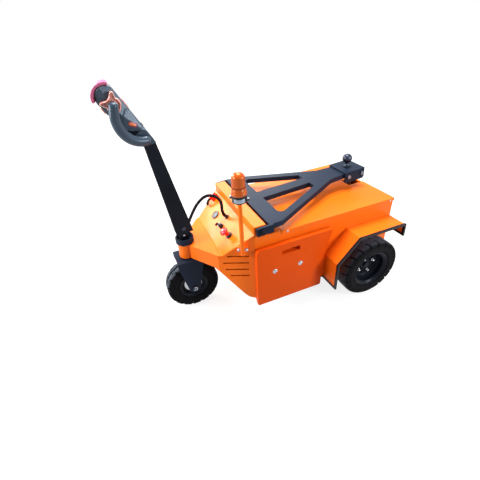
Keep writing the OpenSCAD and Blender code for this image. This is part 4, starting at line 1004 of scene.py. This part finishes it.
flankAxis = (0.4226, 0.9063, 0)
boltRows = [
    ("plateBolts", [(609, 327, 345), (450, 327, 345)], (0, 1, 0), 10.5, 9.5, 15, (1, -1)),
    ("lidScrews", [(-160, 298, 566.5), (520, 298, 566.5)], (0, 1, 0), 4.6, 4, 6.5, (1, -1)),
    ("postBolts", [(791.2, 270.8, 517), (754.9, 287.7, 517)], flankAxis, 7.5, 6.5, 9.5, (1,)),
    ("beaconBolts", [(805.7, 255.9, 831), (746.3, 315.3, 831)], upward, 5.5, 5, 7.5, (1,)),
    ("baseBolts", [(x, 262, 138) for x in (-150, 60, 270, 480, 690)], (0, 0, -1), 6, 4, 9, (1, -1)),
]


def bolts(rows):
    for name, points, axis, *sizes, sides in rows:
        parts = [domeBolt((x, side * y, z), (axis[0], side * axis[1], axis[2]), *sizes)
                 for side in sides for x, y, z in points]
        show(name, joined(*parts), "bright_steel", smooth=30)


gearBolts = {"middle": (0, 189), "faces": (-62, -158), "circle": 71, "count": 10, "size": (6, 5)}


def gearBoltRings(values):  # a ring of nuts on either face of the gear housing
    x, z = values["middle"]
    radius = values["circle"]
    turns = 2 * np.pi * np.arange(values["count"]) / values["count"]
    parts = [hexNut((x + math.cos(t) * radius, face, z + math.sin(t) * radius), (0, side, 0), *values["size"], t)
             for side, face in zip((1, -1), values["faces"]) for t in turns]
    show("gearBolts", joined(*parts), "bright_steel", smooth=25)


bolts(boltRows)
gearBoltRings(gearBolts)
print("bolts set")

studio = {
    "floorSize": 60,
    "floorColor": (0.24, 0.24, 0.24, 1),
    "floorLift": 0.82,  # glow for the camera, gloss and glass only, so that the lit floor reads as white
    "liftRise": (1.2, 3.2),  # metres away from the tug between which the glow rises to 1
    "worldStrength": 0.28,
    "lamps": (  # place, aimed at, size, watts, colour
        ((-0.5, -0.5, 4.2), (0, 0, 0.3), 2.2, 245, (1, 0.99, 0.97)),
        ((-2, 2.3, 1.6), (0.2, 0, 0.8), 0.9, 70, (0.97, 0.99, 1)),
        ((2.6, -3.9, 2.6), (0.1, 0, 0.4), 2.2, 300, (1, 0.96, 0.88)),
        ((3.2, -0.2, 1.7), (0.3, 0, 0.4), 1.6, 120, (1, 0.98, 0.94)),
        ((-1.3, -3.6, 2.9), (0, 0, 0.4), 2.2, 70, (1, 0.98, 0.95)),
    ),
}


def whiteSeen(made):  # 1 for rays of the camera, of gloss and of glass, 0 for the rest
    total = made.node("ShaderNodeLightPath", output="Is Camera Ray")
    for name in ("Is Glossy Ray", "Is Transmission Ray"):
        total = total.maths("MAXIMUM", total, made.node("ShaderNodeLightPath", output=name))
    return total


def makeStudio(values):
    size = values["floorSize"] / 2
    mesh = bpy.data.meshes.new("floor")
    mesh.from_pydata([(x * size, y * size, 0) for x, y in ((-1, -1), (1, -1), (1, 1), (-1, 1))], [], [(0, 1, 2, 3)])
    floor = placed("floor", mesh)
    made = Finish("paleFloor")
    made.set(Base_Color=values["floorColor"], Roughness=0.9, Specular_IOR_Level=0.1)
    away = made.node("ShaderNodeVectorMath", {"operation": "LENGTH"}, {0: made.place()}, output=1)
    lift = values["floorLift"] + (1.0 - values["floorLift"]) * made.spread(away, *values["liftRise"])
    glow = made.node("ShaderNodeEmission", None, {"Color": (1, 1, 1, 1), "Strength": lift * whiteSeen(made)})
    both = made.node("ShaderNodeAddShader", None, {0: Wire(made, made.shader.outputs[0]), 1: glow})
    made.link(both, made.tree.nodes["Material Output"].inputs["Surface"])
    mesh.materials.append(made.block)
    sky = Finish("studio", "worlds", "Background")
    sky.set(Color=(1, 1, 1, 1), Strength=sky.node(
        "ShaderNodeMapRange", None, {"Value": whiteSeen(sky), "To Min": values["worldStrength"], "To Max": 1.0}))
    scene.world = sky.block
    for place, target, width, watts, color in values["lamps"]:
        lamp = bpy.data.lights.new("softLamp", "AREA")
        lamp.shape = "DISK"
        lamp.size = width
        lamp.energy = watts
        lamp.color = color
        obj = placed("softLamp", lamp)
        obj.location = place
        obj.rotation_euler = (Vector(target) - Vector(place)).to_track_quat("-Z", "Y").to_euler()


makeStudio(studio)
print("studio set")
